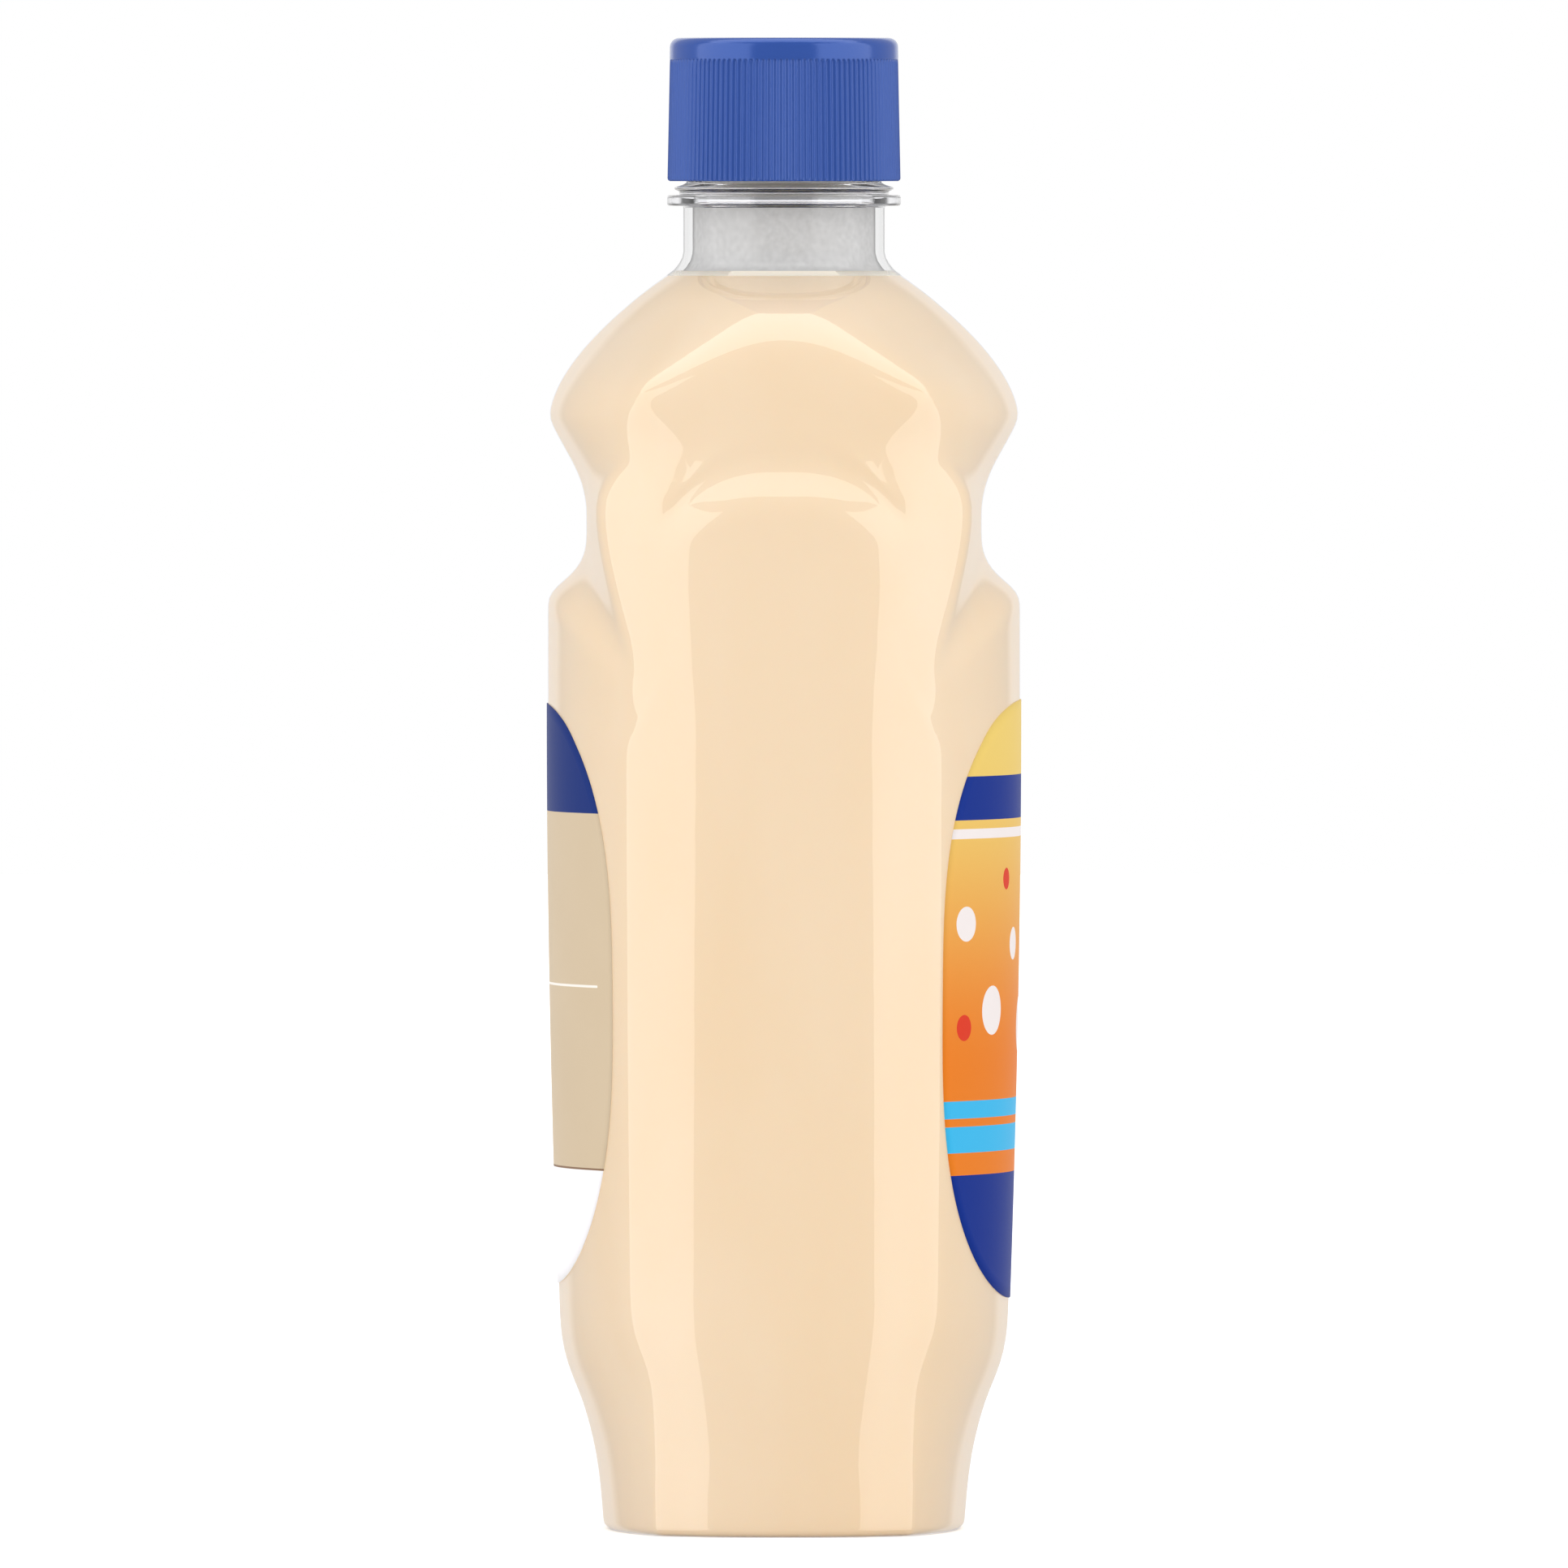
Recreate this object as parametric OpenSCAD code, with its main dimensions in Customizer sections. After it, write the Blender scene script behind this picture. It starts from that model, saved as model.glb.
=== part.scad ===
// Hand soap refill bottle: a blow-moulded clear bottle with finger recesses on its broad faces,
// two film labels, its fill of soap, and a ribbed screw cap with a sealing disc.
// +X is the bottle's width, -Y its front, +Z up. The origin is the middle of the base.

/* [Body] */
// Width over the side panels
body_w = 107; // [100:0.5:116]
// Depth over the label panels
body_d = 87; // [82:0.5:92]
// Depth of the body at the bottom of the label panels
belly_d = 82.6; // [80:0.2:84]
// Depth across the finger recesses
waist_d = 72.8; // [68:0.2:78]
// Depth at the lower edge of the shoulder
brow_d = 86.6; // [82:0.2:92]
// How far the side waist lies inside the side panels, on each side
side_waist_in = 6.2; // [5:0.1:7]
// How far the shoulder's side lies inside the side panels, on each side
side_shoulder_in = 6; // [5:0.1:7]
// Width of the foot
foot_w = 98; // [90:0.5:104]
// Depth of the foot
foot_d = 68; // [62:0.5:74]
// How much the foot's depth draws in towards the floor
foot_draft = 1.6; // [0:0.1:3]
// Radius of the edge that the foot stands on
foot_r = 1.8; // [1:0.1:3]
// Width of the flat ring that the foot stands on
stand_w = 4; // [2:0.1:6]
// Height of the pushed-up middle of the base
pushup_h = 11; // [4:0.5:16]
// Wall of the blown body
wall = 0.6; // [0.4:0.05:1]

/* [Heights] */
// Height of the straight foot
foot_h = 12; // [8:0.5:16]
// Height of the curve from the foot out to the label panel
flare_h = 25; // [20:0.5:30]
// Height of the label panel at its middle
panel_h = 134; // [126:0.5:150]
// Height of the ledge from the panel in to the finger recess
ledge_h = 11; // [9:0.5:13]
// Height of the flat floor of the finger recess
grip_h = 8; // [6:0.5:10]
// Height of the slope from the recess out to the shoulder
brow_h = 14.4; // [12:0.2:17]
// Height of the domed shoulder
dome_h = 27; // [24:0.5:30]
// Height of the curve from the shoulder into the neck
throat_h = 3.6; // [3:0.1:5]

/* [Corner strips] */
// Half depth at the front edge of a corner strip
strip_y = 27.9; // [26:0.1:29]
// How far that edge lies inside the side panel's middle
strip_in = 7.4; // [6:0.1:9]
// Half depth at the edge of the side panel
side_y = 18.5; // [17:0.1:20]
// How far that edge lies inside the side panel's middle
side_in = 2.7; // [2:0.1:3.4]
// Half depth at which the recess floor ends, where the recess is widest
recess_y = 34.4; // [33:0.1:35]
// How far the recess floor ends inside the side panel's middle there
recess_in = 14.5; // [13:0.1:15.5]
// Half depth at the peak of the corner facet, under the shoulder
peak_y = 27; // [25:0.1:28]
// How far that peak lies inside the side panel's middle
peak_in = 9; // [8:0.1:10]
// How far a row of the shoulder dips towards that peak
peak_drop = 11; // [8:0.5:12]
// How far the ledge and the panel's upper edge drop from the middle to the corners
arch_drop = 18; // [10:0.5:20]
// How far the side panel's upper edge drops at its ends
side_drop = 12; // [10:0.5:12.5]

/* [Neck] */
// Outer radius of the neck under its support ring
neck_r = 18.5; // [18:0.1:19]
// Radius where the shoulder meets the throat
throat_r = 20.5; // [20:0.1:22]
// Radius of the pour opening
bore_r = 16.8; // [15:0.1:17.2]
// Height of the plain neck under the support ring
neck_h = 8.4; // [6:0.1:12]
// Radius of the support ring
ring_r = 21.5; // [20.5:0.1:23]
// Thickness of the support ring
ring_t = 2; // [1.4:0.1:2.6]
// Radius of the bead over the support ring
bead_r = 20.2; // [19.6:0.1:21]
// Height of the bead with its undercut
bead_h = 2.1; // [1.8:0.1:3]
// Outer radius of the neck's wall between its threads
finish_r = 17.95; // [17.8:0.05:18.1]
// Height of the threaded finish above the bead
finish_h = 24.25; // [22:0.05:28]

/* [Thread] */
// Rise of the thread in one turn
pitch = 4.233; // [3.9:0.001:4.6]
// Turns of thread on the neck and in the cap
turns = 1.5; // [1:0.25:2]
// Height of the neck's thread above its wall
thread_d = 0.85; // [0.6:0.05:0.9]
// Axial width of the neck's thread at its root
thread_w = 2.6; // [2.2:0.1:2.8]
// Axial width of the neck's thread at its crest
crest_w = 1; // [0.6:0.1:1.2]
// Axial width of the cap's thread at its root
cap_thread_w = 1.8; // [1.2:0.1:2]
// Axial width of the cap's thread at its crest
cap_crest_w = 0.7; // [0.4:0.1:0.9]
// Gap between the cap's thread and the neck's wall
crest_gap = 0.25; // [0.15:0.05:0.4]
// Gap between the threads' pressed flanks
flank_gap = 0.1; // [0.05:0.01:0.2]
// Depth from the mouth down to the start of the neck's thread
thread_down = 13.5; // [12:0.5:15]

/* [Cap] */
// Outer radius of the cap at its skirt's lower edge
cap_r = 21.45; // [21.1:0.05:22.5]
// Outer radius of the cap under its rounded top edge
cap_top_r = 20.95; // [20.8:0.05:22]
// Thickness of the cap's top
cap_t = 1.55; // [1.2:0.05:2]
// Radius of the cap's rounded top edge
cap_edge_r = 1.7; // [1:0.1:1.8]
// Height of the smooth band at the top of the cap
band_h = 3.9; // [3:0.1:5]
// Gap between the bead on the neck and the cap's skirt
skirt_gap = 0.45; // [0.3:0.05:1]
// Inner radius of the skirt
skirt_r = 19.2; // [19:0.05:19.4]
// Number of ribs round the skirt
ribs = 120; // [90:2:130]
// Depth of the grooves between the ribs
rib_d = 0.35; // [0.2:0.05:0.5]
// Share of the ribs' spacing that a rib takes up outside its tip
rib_tip = 0.3; // [0.2:0.01:0.4]
// Share of the ribs' spacing that a rib takes up inside its foot
rib_foot = 0.72; // [0.6:0.01:0.8]
// Thickness of the sealing disc
liner_t = 1; // [0.6:0.05:1.5]
// Gap between the sealing disc and the skirt
liner_gap = 0.15; // [0.05:0.05:0.4]

/* [Soap] */
// Depth of the air space from the throat down to the soap
air_h = 0.4; // [0:0.1:6]
// Gap between the soap and the wall
soap_gap = 0.4; // [0.4:0.05:0.8]

/* [Labels] */
// Half width of the front label
front_label_w = 44.4; // [38:0.1:44.8]
// Half height of the front label
front_label_h = 55; // [45:0.5:56]
// Height of the front label's middle above the floor
front_label_z = 97.6; // [92:0.1:100]
// Half width of the back label
back_label_w = 40.7; // [36:0.1:44.4]
// Half height of the back label
back_label_h = 53.3; // [45:0.1:55]
// Height of the back label's middle above the floor
back_label_z = 98.6; // [92:0.1:100]
// Thickness of the label film
label_t = 0.1; // [0.06:0.01:0.2]
// Gap between a label's film and the panel
label_gap = 0.08; // [0.04:0.01:0.15]

/* [Hidden] */
$fn = 96;

// Heights above the floor
z_flare = foot_h + flare_h;
z_ledge = z_flare + panel_h;
z_grip = z_ledge + ledge_h;
z_brow = z_grip + grip_h;
z_dome = z_brow + brow_h;
z_throat = z_dome + dome_h;
z_neck = z_throat + throat_h;
z_ring = z_neck + neck_h;
z_bead = z_ring + ring_t;
z_finish = z_bead + bead_h;
z_mouth = z_finish + finish_h;
z_liner = z_mouth + liner_t;
z_top = z_liner + cap_t;
z_skirt = z_finish + skirt_gap;
z_soap = z_throat - air_h;

// Half sizes of the body
half_w = body_w / 2;
side_brow = half_w - side_waist_in;
side_dome = half_w - side_shoulder_in;

// Columns of the skin in a quarter: side panel, corner strip, then front
side_n = 3;
strip_n = 1;
front_n = 6;
quarter_n = side_n + strip_n + front_n;

function mix(a, b, t) = a + (b - a) * t;
function ease(a, b, z) = let (t = min(1, max(0, (z - a) / (b - a)))) t * t * (3 - 2 * t);

// Value at z on a line of [z, value] stations joined by straight runs with eased corners
function slope(line, k) = (line[k + 1][1] - line[k][1]) / (line[k + 1][0] - line[k][0]);
function tangent(line, k) =
    k <= 0 ? slope(line, 0)
    : k >= len(line) - 1 ? slope(line, len(line) - 2)
    : let (a = slope(line, k - 1), b = slope(line, k)) a * b <= 0 ? 0 : 2 * a * b / (a + b);
function span(line, z, k = 0) = k >= len(line) - 2 || z < line[k + 1][0] ? k : span(line, z, k + 1);
function along(line, z) =
    let (
        k = span(line, z),
        h = line[k + 1][0] - line[k][0],
        t = min(1, max(0, (z - line[k][0]) / h)),
        a = line[k][1],
        b = line[k + 1][1]
    )
    a * (1 + 2 * t) * (1 - t) * (1 - t) + b * t * t * (3 - 2 * t)
    + h * t * (1 - t) * ((1 - t) * tangent(line, k) - t * tangent(line, k + 1));

// Half depth of the body at its middle, against height
depth_line = [
    [0, (foot_d - foot_draft) / 2],
    [foot_h, foot_d / 2 + 0.4],
    [foot_h + 0.45 * flare_h, mix(foot_d, belly_d, 0.42) / 2],
    [foot_h + 0.75 * flare_h, mix(foot_d, belly_d, 0.84) / 2],
    [z_flare, belly_d / 2],
    [z_ledge - 20, body_d / 2],
    [z_ledge, body_d / 2],
    [z_ledge + 1, body_d / 2 - 0.3],
    [z_ledge + 0.5 * ledge_h, mix(body_d, waist_d, 0.72) / 2],
    [z_ledge + 0.75 * ledge_h, mix(body_d, waist_d, 0.93) / 2],
    [z_grip, waist_d / 2],
    [z_grip + 0.7 * grip_h, waist_d / 2],
    [z_brow + 0.1 * brow_h, mix(waist_d, brow_d, 0.09) / 2],
    [z_dome - 1.2, mix(waist_d, brow_d, 0.92) / 2],
    [z_dome, brow_d / 2],
];
function dome(shoulder, power, z) =
    mix(throat_r, shoulder, 1 - pow((z - z_dome) / dome_h, power));
function throat(z) =
    let (t = (z - z_throat) / throat_h) mix(neck_r, throat_r, pow(1 - t, 1.8));
function depth(z) =
    z >= z_throat ? throat(z) : z > z_dome ? dome(brow_d / 2, 1.7, z) : along(depth_line, z);

// Half width of the body at its middle, against height
z_side = z_grip + 0.8 * grip_h;
width_line = [
    [0, foot_w / 2 - 0.6],
    [foot_h, foot_w / 2 + 0.4],
    [z_flare, half_w - 0.9],
    [z_flare + 30, half_w - 0.2],
    [z_side - 20, half_w],
    [z_side, half_w - 0.3],
    [z_side + 4.5, side_brow + 0.45 * side_waist_in],
    [z_side + 8.5, side_brow],
    [z_side + 11, side_brow + 0.1],
    [z_dome, mix(side_brow, side_dome, 0.8)],
    [z_dome + 6, side_dome],
];
function width(z) =
    z >= z_throat ? throat(z)
    : z > z_dome + 6 ? dome(side_dome, 4, z)
    : along(width_line, z);

// Front edge of the corner strip and of the facet over it: half depth, and inset from the half width
front_edge_y = [
    [0, strip_y - 4.6],
    [foot_h + 0.55 * flare_h, strip_y - 4.1],
    [z_flare + 4, strip_y - 0.3],
    [z_ledge - 27, strip_y],
    [z_ledge - 20, strip_y - 1.2],
    [z_brow - 2, recess_y],
    [z_brow + 1, recess_y - 0.6],
    [z_brow + 7, recess_y - 5.4],
    [z_dome + 3.6, peak_y],
    [z_dome + 9, peak_y - 0.8],
];
front_edge_in = [
    [0, strip_in - 0.6],
    [foot_h, strip_in - 0.6],
    [z_flare + 4, strip_in],
    [z_ledge - 20, strip_in],
    [z_brow - 2, recess_in],
    [z_brow + 1, recess_in - 0.7],
    [z_brow + 7, recess_in - 3.2],
    [z_dome + 3.6, peak_in],
    [z_dome + 9, peak_in + 0.6],
];

// Edge of the side panel and of the facet beside it
side_edge_y = [
    [0, side_y - 2.5],
    [foot_h, side_y - 2.5],
    [z_flare + 4, side_y],
    [z_ledge - 27, side_y],
    [z_ledge - 6, side_y + 1],
    [z_grip + 3, side_y + 4],
    [z_brow, side_y + 2],
    [z_brow + 6, side_y - 3.6],
    [z_dome + 3.6, peak_y - 1],
    [z_dome + 9, peak_y - 1.8],
];
side_edge_in = [
    [0, side_in - 0.4],
    [z_ledge - 6, side_in],
    [z_grip - 3, side_in + 1],
    [z_brow - 1, side_waist_in - 0.7],
    [z_brow + 6, side_waist_in + 0.5],
    [z_dome + 3.6, peak_in - 0.4],
    [z_dome + 9, peak_in + 0.2],
];

// Half depth of the label panel beside its middle, round an arc that ends at the corner strip
panel_power = 2.1;
function flank(z) = z < z_ledge ? width(z) : half_w;
function edge_x(z) = flank(z) - along(front_edge_in, z);
function front_y(x, z, v) =
    mix(depth(v), along(front_edge_y, z), pow(min(1, abs(x) / edge_x(z)), panel_power));

// How far a row dips below its height at the middle: under the recess at the front, over the panel at the side
function front_dip(v) =
    peak_dip(v) + arch_drop * ease(z_ledge - 42, z_ledge - 6, v) * (1 - ease(z_grip, z_brow + 4, v));
function side_dip(v) =
    peak_dip(v) + side_drop * ease(z_grip - 12, z_side + 8.5, v) * (1 - ease(z_brow + 8, z_dome + 4, v));

// How far a row dips beside the arch over the side's recess
function peak_dip(v) = peak_drop * ease(z_dome, z_dome + 0.78 * dome_h, v);

// How round the section is: 0 on the shaped body, 1 from the dome upwards
function roundness(v) = ease(z_dome + 0.63 * dome_h, z_throat, v);

// Angle of a column where the section is round
function column_angle(j) =
    j <= side_n ? 24 * j / side_n
    : j <= side_n + strip_n ? 24 + 11 * (j - side_n) / strip_n
    : 35 + 55 * (j - side_n - strip_n) / front_n;

// Share of the side panel's half that each of its columns lies at, and the power of a row's bow over it
side_share = [0, 0.45, 0.8, 1];
function bow(v) = mix(3, 2.3, ease(z_brow + 8, z_dome + 6, v));

// Point of a quarter's skin: row height v at the middle, column j from the side to the front
function shaped(v, j) =
    let (
        f = j <= side_n ? side_share[j] : j - side_n - strip_n,
        dip_c = front_dip(v),
        dip_b = side_dip(v),
        zc = v - dip_c,
        zb = v - dip_b,
        xc = edge_x(zc),
        xb = flank(zb) - along(side_edge_in, zb),
        yc = along(front_edge_y, zc),
        yb = along(side_edge_y, zb)
    )
    j < side_n ? [mix(width(v), min(xb, width(v)), pow(f, 2.6)), f * yb, v - dip_b * pow(f, bow(v))]
    : j <= side_n + strip_n ? let (s = (j - side_n) / strip_n) [mix(xb, xc, s), mix(yb, yc, s), mix(zb, zc, s)]
    : let (x = xc * (1 - f / front_n), z = v - dip_c * pow(x / xc, 2)) [x, front_y(x, z, v), z];
function rounded(v, j) =
    let (a = column_angle(j)) [width(v) * cos(a), depth(v) * sin(a), v];
function quarter_point(v, j) = let (k = roundness(v))
    k >= 1 ? rounded(v, j) : k <= 0 ? shaped(v, j) : mix(shaped(v, j), rounded(v, j), k);

// Whole ring from its quarter
function ring_of(q) =
    let (n = len(q) - 1)
    concat(
        q,
        [for (j = [n - 1:-1:0]) [-q[j].x, q[j].y, q[j].z]],
        [for (j = [1:n]) [-q[j].x, -q[j].y, q[j].z]],
        [for (j = [n - 1:-1:1]) [q[j].x, -q[j].y, q[j].z]]
    );
function body_ring(v) = ring_of([for (j = [0:quarter_n]) quarter_point(v, j)]);

// Rings of the base: the standing edge, the flat ring, and the push-up towards the middle
function inset_ring(inset, z) =
    let (a = 1 - inset / width(foot_r), b = 1 - inset / depth(foot_r))
    [for (p = body_ring(foot_r)) [p.x * a, p.y * b, z]];
function pushup_z(s) = pushup_h * (1 - pow(s, 3));
function pushup_ring(s) =
    [for (p = inset_ring(foot_r + stand_w, 0)) [p.x * s, p.y * s, pushup_z(s)]];
base_rings = concat(
    [for (s = [0.2, 0.45, 0.65, 0.82, 0.94, 1]) pushup_ring(s)],
    [for (a = [0, 30, 60]) inset_ring(foot_r * (1 - sin(a)), foot_r * (1 - cos(a)))]
);

// Heights of the body's rows at the middle
body_rows = concat(
    [foot_r, 6, foot_h],
    [for (k = [0.2, 0.35, 0.5, 0.65, 0.8, 1]) foot_h + k * flare_h],
    [z_flare + 15, z_flare + 45, z_flare + 80, z_ledge - 36, z_ledge - 27, z_ledge - 20, z_ledge - 8, z_ledge - 1],
    [for (k = [0.08, 0.3, 0.55, 0.75, 1]) z_ledge + k * ledge_h],
    [z_grip + 0.6 * grip_h, z_brow],
    [for (k = [0.2, 0.4, 0.6, 0.8]) z_brow + k * brow_h],
    [z_dome - 1, z_dome],
    [for (k = [0.06, 0.14, 0.24, 0.36, 0.48, 0.58, 0.67, 0.75, 0.82, 0.88, 0.94, 0.98]) z_dome + k * dome_h]
);
throat_rows = [for (k = [0.05, 0.25, 0.55, 1]) z_throat + k * throat_h];

// Wall's thickness at height z: the blown body, growing to the neck's
wall_top = neck_r - bore_r;
function wall_at(z) = mix(wall, wall_top, ease(z_throat - 4, z_neck, z));

// Rings of the whole outer skin, the last one grown so that it meets the neck all round
neck_overlap = 0.15;
skin_rings = concat(base_rings, [for (v = concat(body_rows, throat_rows)) body_ring(v)]);
outer_rings = [for (i = [0:len(skin_rings) - 1])
    let (k = i < len(skin_rings) - 1 ? 1 : 1 + neck_overlap / neck_r)
    [for (p = skin_rings[i]) [p.x * k, p.y * k, p.z]]];

// Extra distance of the inner skin, so that no facet's middle is thinner than the wall
facet_gap = 0.1;

// Outward normals of a grid of rings, and the grid moved inward along them
function unit(a) = a / norm(a);
function normals(rings) =
    let (m = len(rings), n = len(rings[0]))
    [for (i = [0:m - 1]) [for (j = [0:n - 1])
        let (
            up = rings[min(m - 1, i + 1)][j] - rings[max(0, i - 1)][j],
            round = rings[i][(j + 1) % n] - rings[i][(j + n - 1) % n],
            c = unit(cross(round, up))
        )
        i == m - 1 ? unit([c.x, c.y, 0]) : c]];
function inward(rings, extra) =
    let (nn = normals(rings))
    [for (i = [0:len(rings) - 1]) [for (j = [0:len(rings[0]) - 1])
        rings[i][j] - (wall_at(rings[i][j].z) + extra) * nn[i][j]]];

// Triangles between neighbouring rings of n points, the first ring at index start
function band_faces(start, n, turned) = [for (j = [0:n - 1])
    let (a = start + j, b = start + (j + 1) % n, c = a + n, d = b + n)
    each turned ? [[a, b, d], [a, d, c]] : [[a, d, b], [a, c, d]]];
function skin_faces(start, m, n, turned) = [for (i = [0:m - 2]) each band_faces(start + i * n, n, turned)];
function fan_faces(start, n, tip, turned) = [for (j = [0:n - 1])
    turned ? [start + j, tip, start + (j + 1) % n] : [start + j, start + (j + 1) % n, tip]];
function flat(rings) = [for (r = rings) each r];

// Closed shell with an outer and an inner skin, open at the top ring
module shell(outer, inner, low_tip, high_tip) {
    m = len(outer);
    n = len(outer[0]);
    k = m * n;
    rim = [for (j = [0:n - 1])
        let (a = k - n + j, b = k - n + (j + 1) % n, c = a + k, d = b + k)
        each [[a, d, b], [a, c, d]]];
    polyhedron(
        points = concat(flat(outer), flat(inner), [low_tip, high_tip]),
        faces = concat(
            skin_faces(0, m, n, false),
            skin_faces(k, m, n, true),
            rim,
            fan_faces(0, n, 2 * k, false),
            fan_faces(k, n, 2 * k + 1, true)
        ),
        convexity = 8
    );
}

// Closed solid within one skin, with a flat top
module filled(rings, low_tip) {
    m = len(rings);
    n = len(rings[0]);
    k = m * n;
    polyhedron(
        points = concat(flat(rings), [low_tip, [0, 0, rings[m - 1][0].z]]),
        faces = concat(
            skin_faces(0, m, n, false),
            fan_faces(0, n, k, false),
            fan_faces(k - n, n, k + 1, true)
        ),
        convexity = 4
    );
}

// Helical thread, a trapezoid swept from z upward, its crest drawn in at both ends
thread_steps = 32;
module thread(root, crest, root_w, tip_w, z) {
    count = round(thread_steps * turns);
    way = root < crest ? 1 : -1;
    function run(k) = min(1, min(k, count - k) / (thread_steps / 8));
    function lobe(k) =
        let (
            r = mix(root, crest, run(k)),
            a = 360 * k / thread_steps,
            h = z + pitch * k / thread_steps
        )
        [for (p = [[root, -root_w], [r, -tip_w], [r, tip_w], [root, root_w]])
            [p.x * cos(a), p.x * sin(a), h + way * p.y / 2]];
    last = 4 * (count - 2);
    polyhedron(
        points = [for (k = [1:count - 1]) each lobe(k)],
        faces = concat(
            [[0, 2, 1], [0, 3, 2]],
            skin_faces(0, count - 1, 4, true),
            [[last, last + 1, last + 2], [last, last + 2, last + 3]]
        ),
        convexity = 10
    );
}

// Profile of the neck from inside the throat up to the mouth
neck_sink = 0.5;
module neck_profile() {
    lip = 0.5;
    polygon([
        [bore_r, z_neck - neck_sink],
        [neck_r, z_neck - neck_sink],
        [neck_r, z_ring - 0.4],
        [neck_r + 0.4, z_ring],
        [ring_r - 0.3, z_ring],
        [ring_r, z_ring + 0.4],
        [ring_r, z_bead - 0.4],
        [ring_r - 0.3, z_bead],
        [bead_r - 0.9, z_bead],
        [bead_r - 0.9, z_bead + 0.3 * bead_h],
        [bead_r, z_bead + 0.5 * bead_h],
        [bead_r - 0.1, z_bead + 0.72 * bead_h],
        [finish_r, z_finish],
        [finish_r, z_mouth - lip],
        [finish_r - lip, z_mouth],
        [bore_r, z_mouth],
    ]);
}

module bottle() {
    color([0.93, 0.94, 0.95, 0.45]) {
        shell(outer_rings, inward(outer_rings, facet_gap), [0, 0, pushup_h], [0, 0, pushup_h + wall]);
        rotate_extrude() neck_profile();
        thread(neck_root, neck_crest, thread_w, crest_w, z_mouth - thread_down);
    }
}

module soap() {
    color([0.97, 0.87, 0.74])
        intersection() {
            filled(inward(outer_rings, facet_gap + soap_gap), [0, 0, pushup_h + wall + soap_gap]);
            cylinder(r = body_w, h = z_soap, $fn = 4);
        }
}

// Outline of a label: a superellipse, round at its corners
label_steps = 72;
module label_outline(half, high, power) {
    function lobe(a) = sign(a) * pow(abs(a), 2 / power);
    polygon([for (k = [0.5:label_steps])
        let (a = 360 * k / label_steps)
        [half * lobe(cos(a)), high * lobe(sin(a))]]);
}

// Row of the label panel at the front, from one corner strip to the other
function panel_row(v) =
    let (q = [for (j = [side_n + strip_n:quarter_n]) quarter_point(v, j)])
    concat(
        [for (p = q) [-p.x, -p.y, p.z]],
        [for (j = [front_n - 1:-1:0]) [q[j].x, -q[j].y, q[j].z]]
    );

// Film that follows the label panel within its outline
panel_rows = [for (v = body_rows) if (v >= z_flare && v < z_ledge - 2) panel_row(v)];
module label(half, high, z, power) {
    m = len(panel_rows);
    n = len(panel_rows[0]);
    k = m * n;
    sheet = [for (i = [0:m - 2]) for (j = [0:n - 2])
        let (a = i * n + j, b = a + 1, c = a + n, d = c + 1)
        each [[a, d, b], [a, c, d], [a + k, b + k, d + k], [a + k, d + k, c + k]]];
    edge = concat(
        [for (j = [0:n - 1]) j],
        [for (i = [1:m - 1]) i * n + n - 1],
        [for (j = [1:n - 1]) k - 1 - j],
        [for (i = [1:m - 2]) (m - 1 - i) * n]
    );
    e = len(edge);
    rim = [for (j = [0:e - 1])
        let (a = edge[j], b = edge[(j + 1) % e])
        each [[a, b, b + k], [a, b + k, a + k]]];
    intersection() {
        polyhedron(
            points = [for (lift = [label_gap + label_t, label_gap]) for (p = flat(panel_rows)) [p.x, p.y - lift, p.z]],
            faces = concat(sheet, rim),
            convexity = 4
        );
        translate([0, 0, z]) rotate([90, 0, 0]) linear_extrude(body_d) label_outline(half, high, power);
    }
}

module front_label() {
    color([0.95, 0.55, 0.2])
        label(front_label_w, front_label_h, front_label_z, 3.1);
}

module back_label() {
    color([0.12, 0.22, 0.52])
        rotate([0, 0, 180]) label(back_label_w, back_label_h, back_label_z, 2.85);
}

module cap_liner() {
    color([0.96, 0.96, 0.94])
        translate([0, 0, z_mouth]) cylinder(r = skirt_r - liner_gap, h = liner_t);
}

// Radius of the cap's outer cone at height z
z_band = z_top - band_h;
function cone_r(z) = mix(cap_r, cap_top_r, (z - z_skirt) / (z_top - cap_edge_r - z_skirt));

// Half profile of the cap without its ribs: the smooth band with its rounded edge over the core
groove_end = 0.6;
band_lip = 0.05;
module cap_profile() {
    edge = cap_edge_r;
    polygon(concat(
        [
            [0, z_skirt],
            [cap_r - rib_d - 0.3, z_skirt],
            [cap_r - rib_d, z_skirt + 0.3],
            [cone_r(z_band - groove_end) - rib_d, z_band - groove_end],
            [cone_r(z_band) + band_lip, z_band],
        ],
        [for (a = [0:10:90]) [cap_top_r + band_lip - edge * (1 - cos(a)), z_top - edge * (1 - sin(a))]],
        [[0, z_top]]
    ));
}

// Half profile of the cone that the ribs' tips lie on
module rib_profile() {
    polygon([
        [0, z_skirt + 0.3],
        [cap_r - 0.3, z_skirt + 0.3],
        [cone_r(z_skirt + 0.8), z_skirt + 0.8],
        [cone_r(z_band), z_band],
        [cone_r(z_band) - 0.4, z_band + 0.4],
        [0, z_band + 0.4],
    ]);
}

// Star whose points are the ribs, from inside the core to outside the cone
module rib_star() {
    inner = cap_top_r - 2 * rib_d;
    outer = cap_r + rib_d;
    polygon([for (i = [0:ribs - 1])
        for (p = [[inner, -rib_foot], [outer, -rib_tip], [outer, rib_tip], [inner, rib_foot]])
            let (a = 360 / ribs * (i + p.y / 2)) [p.x * cos(a), p.x * sin(a)]]);
}

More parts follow.
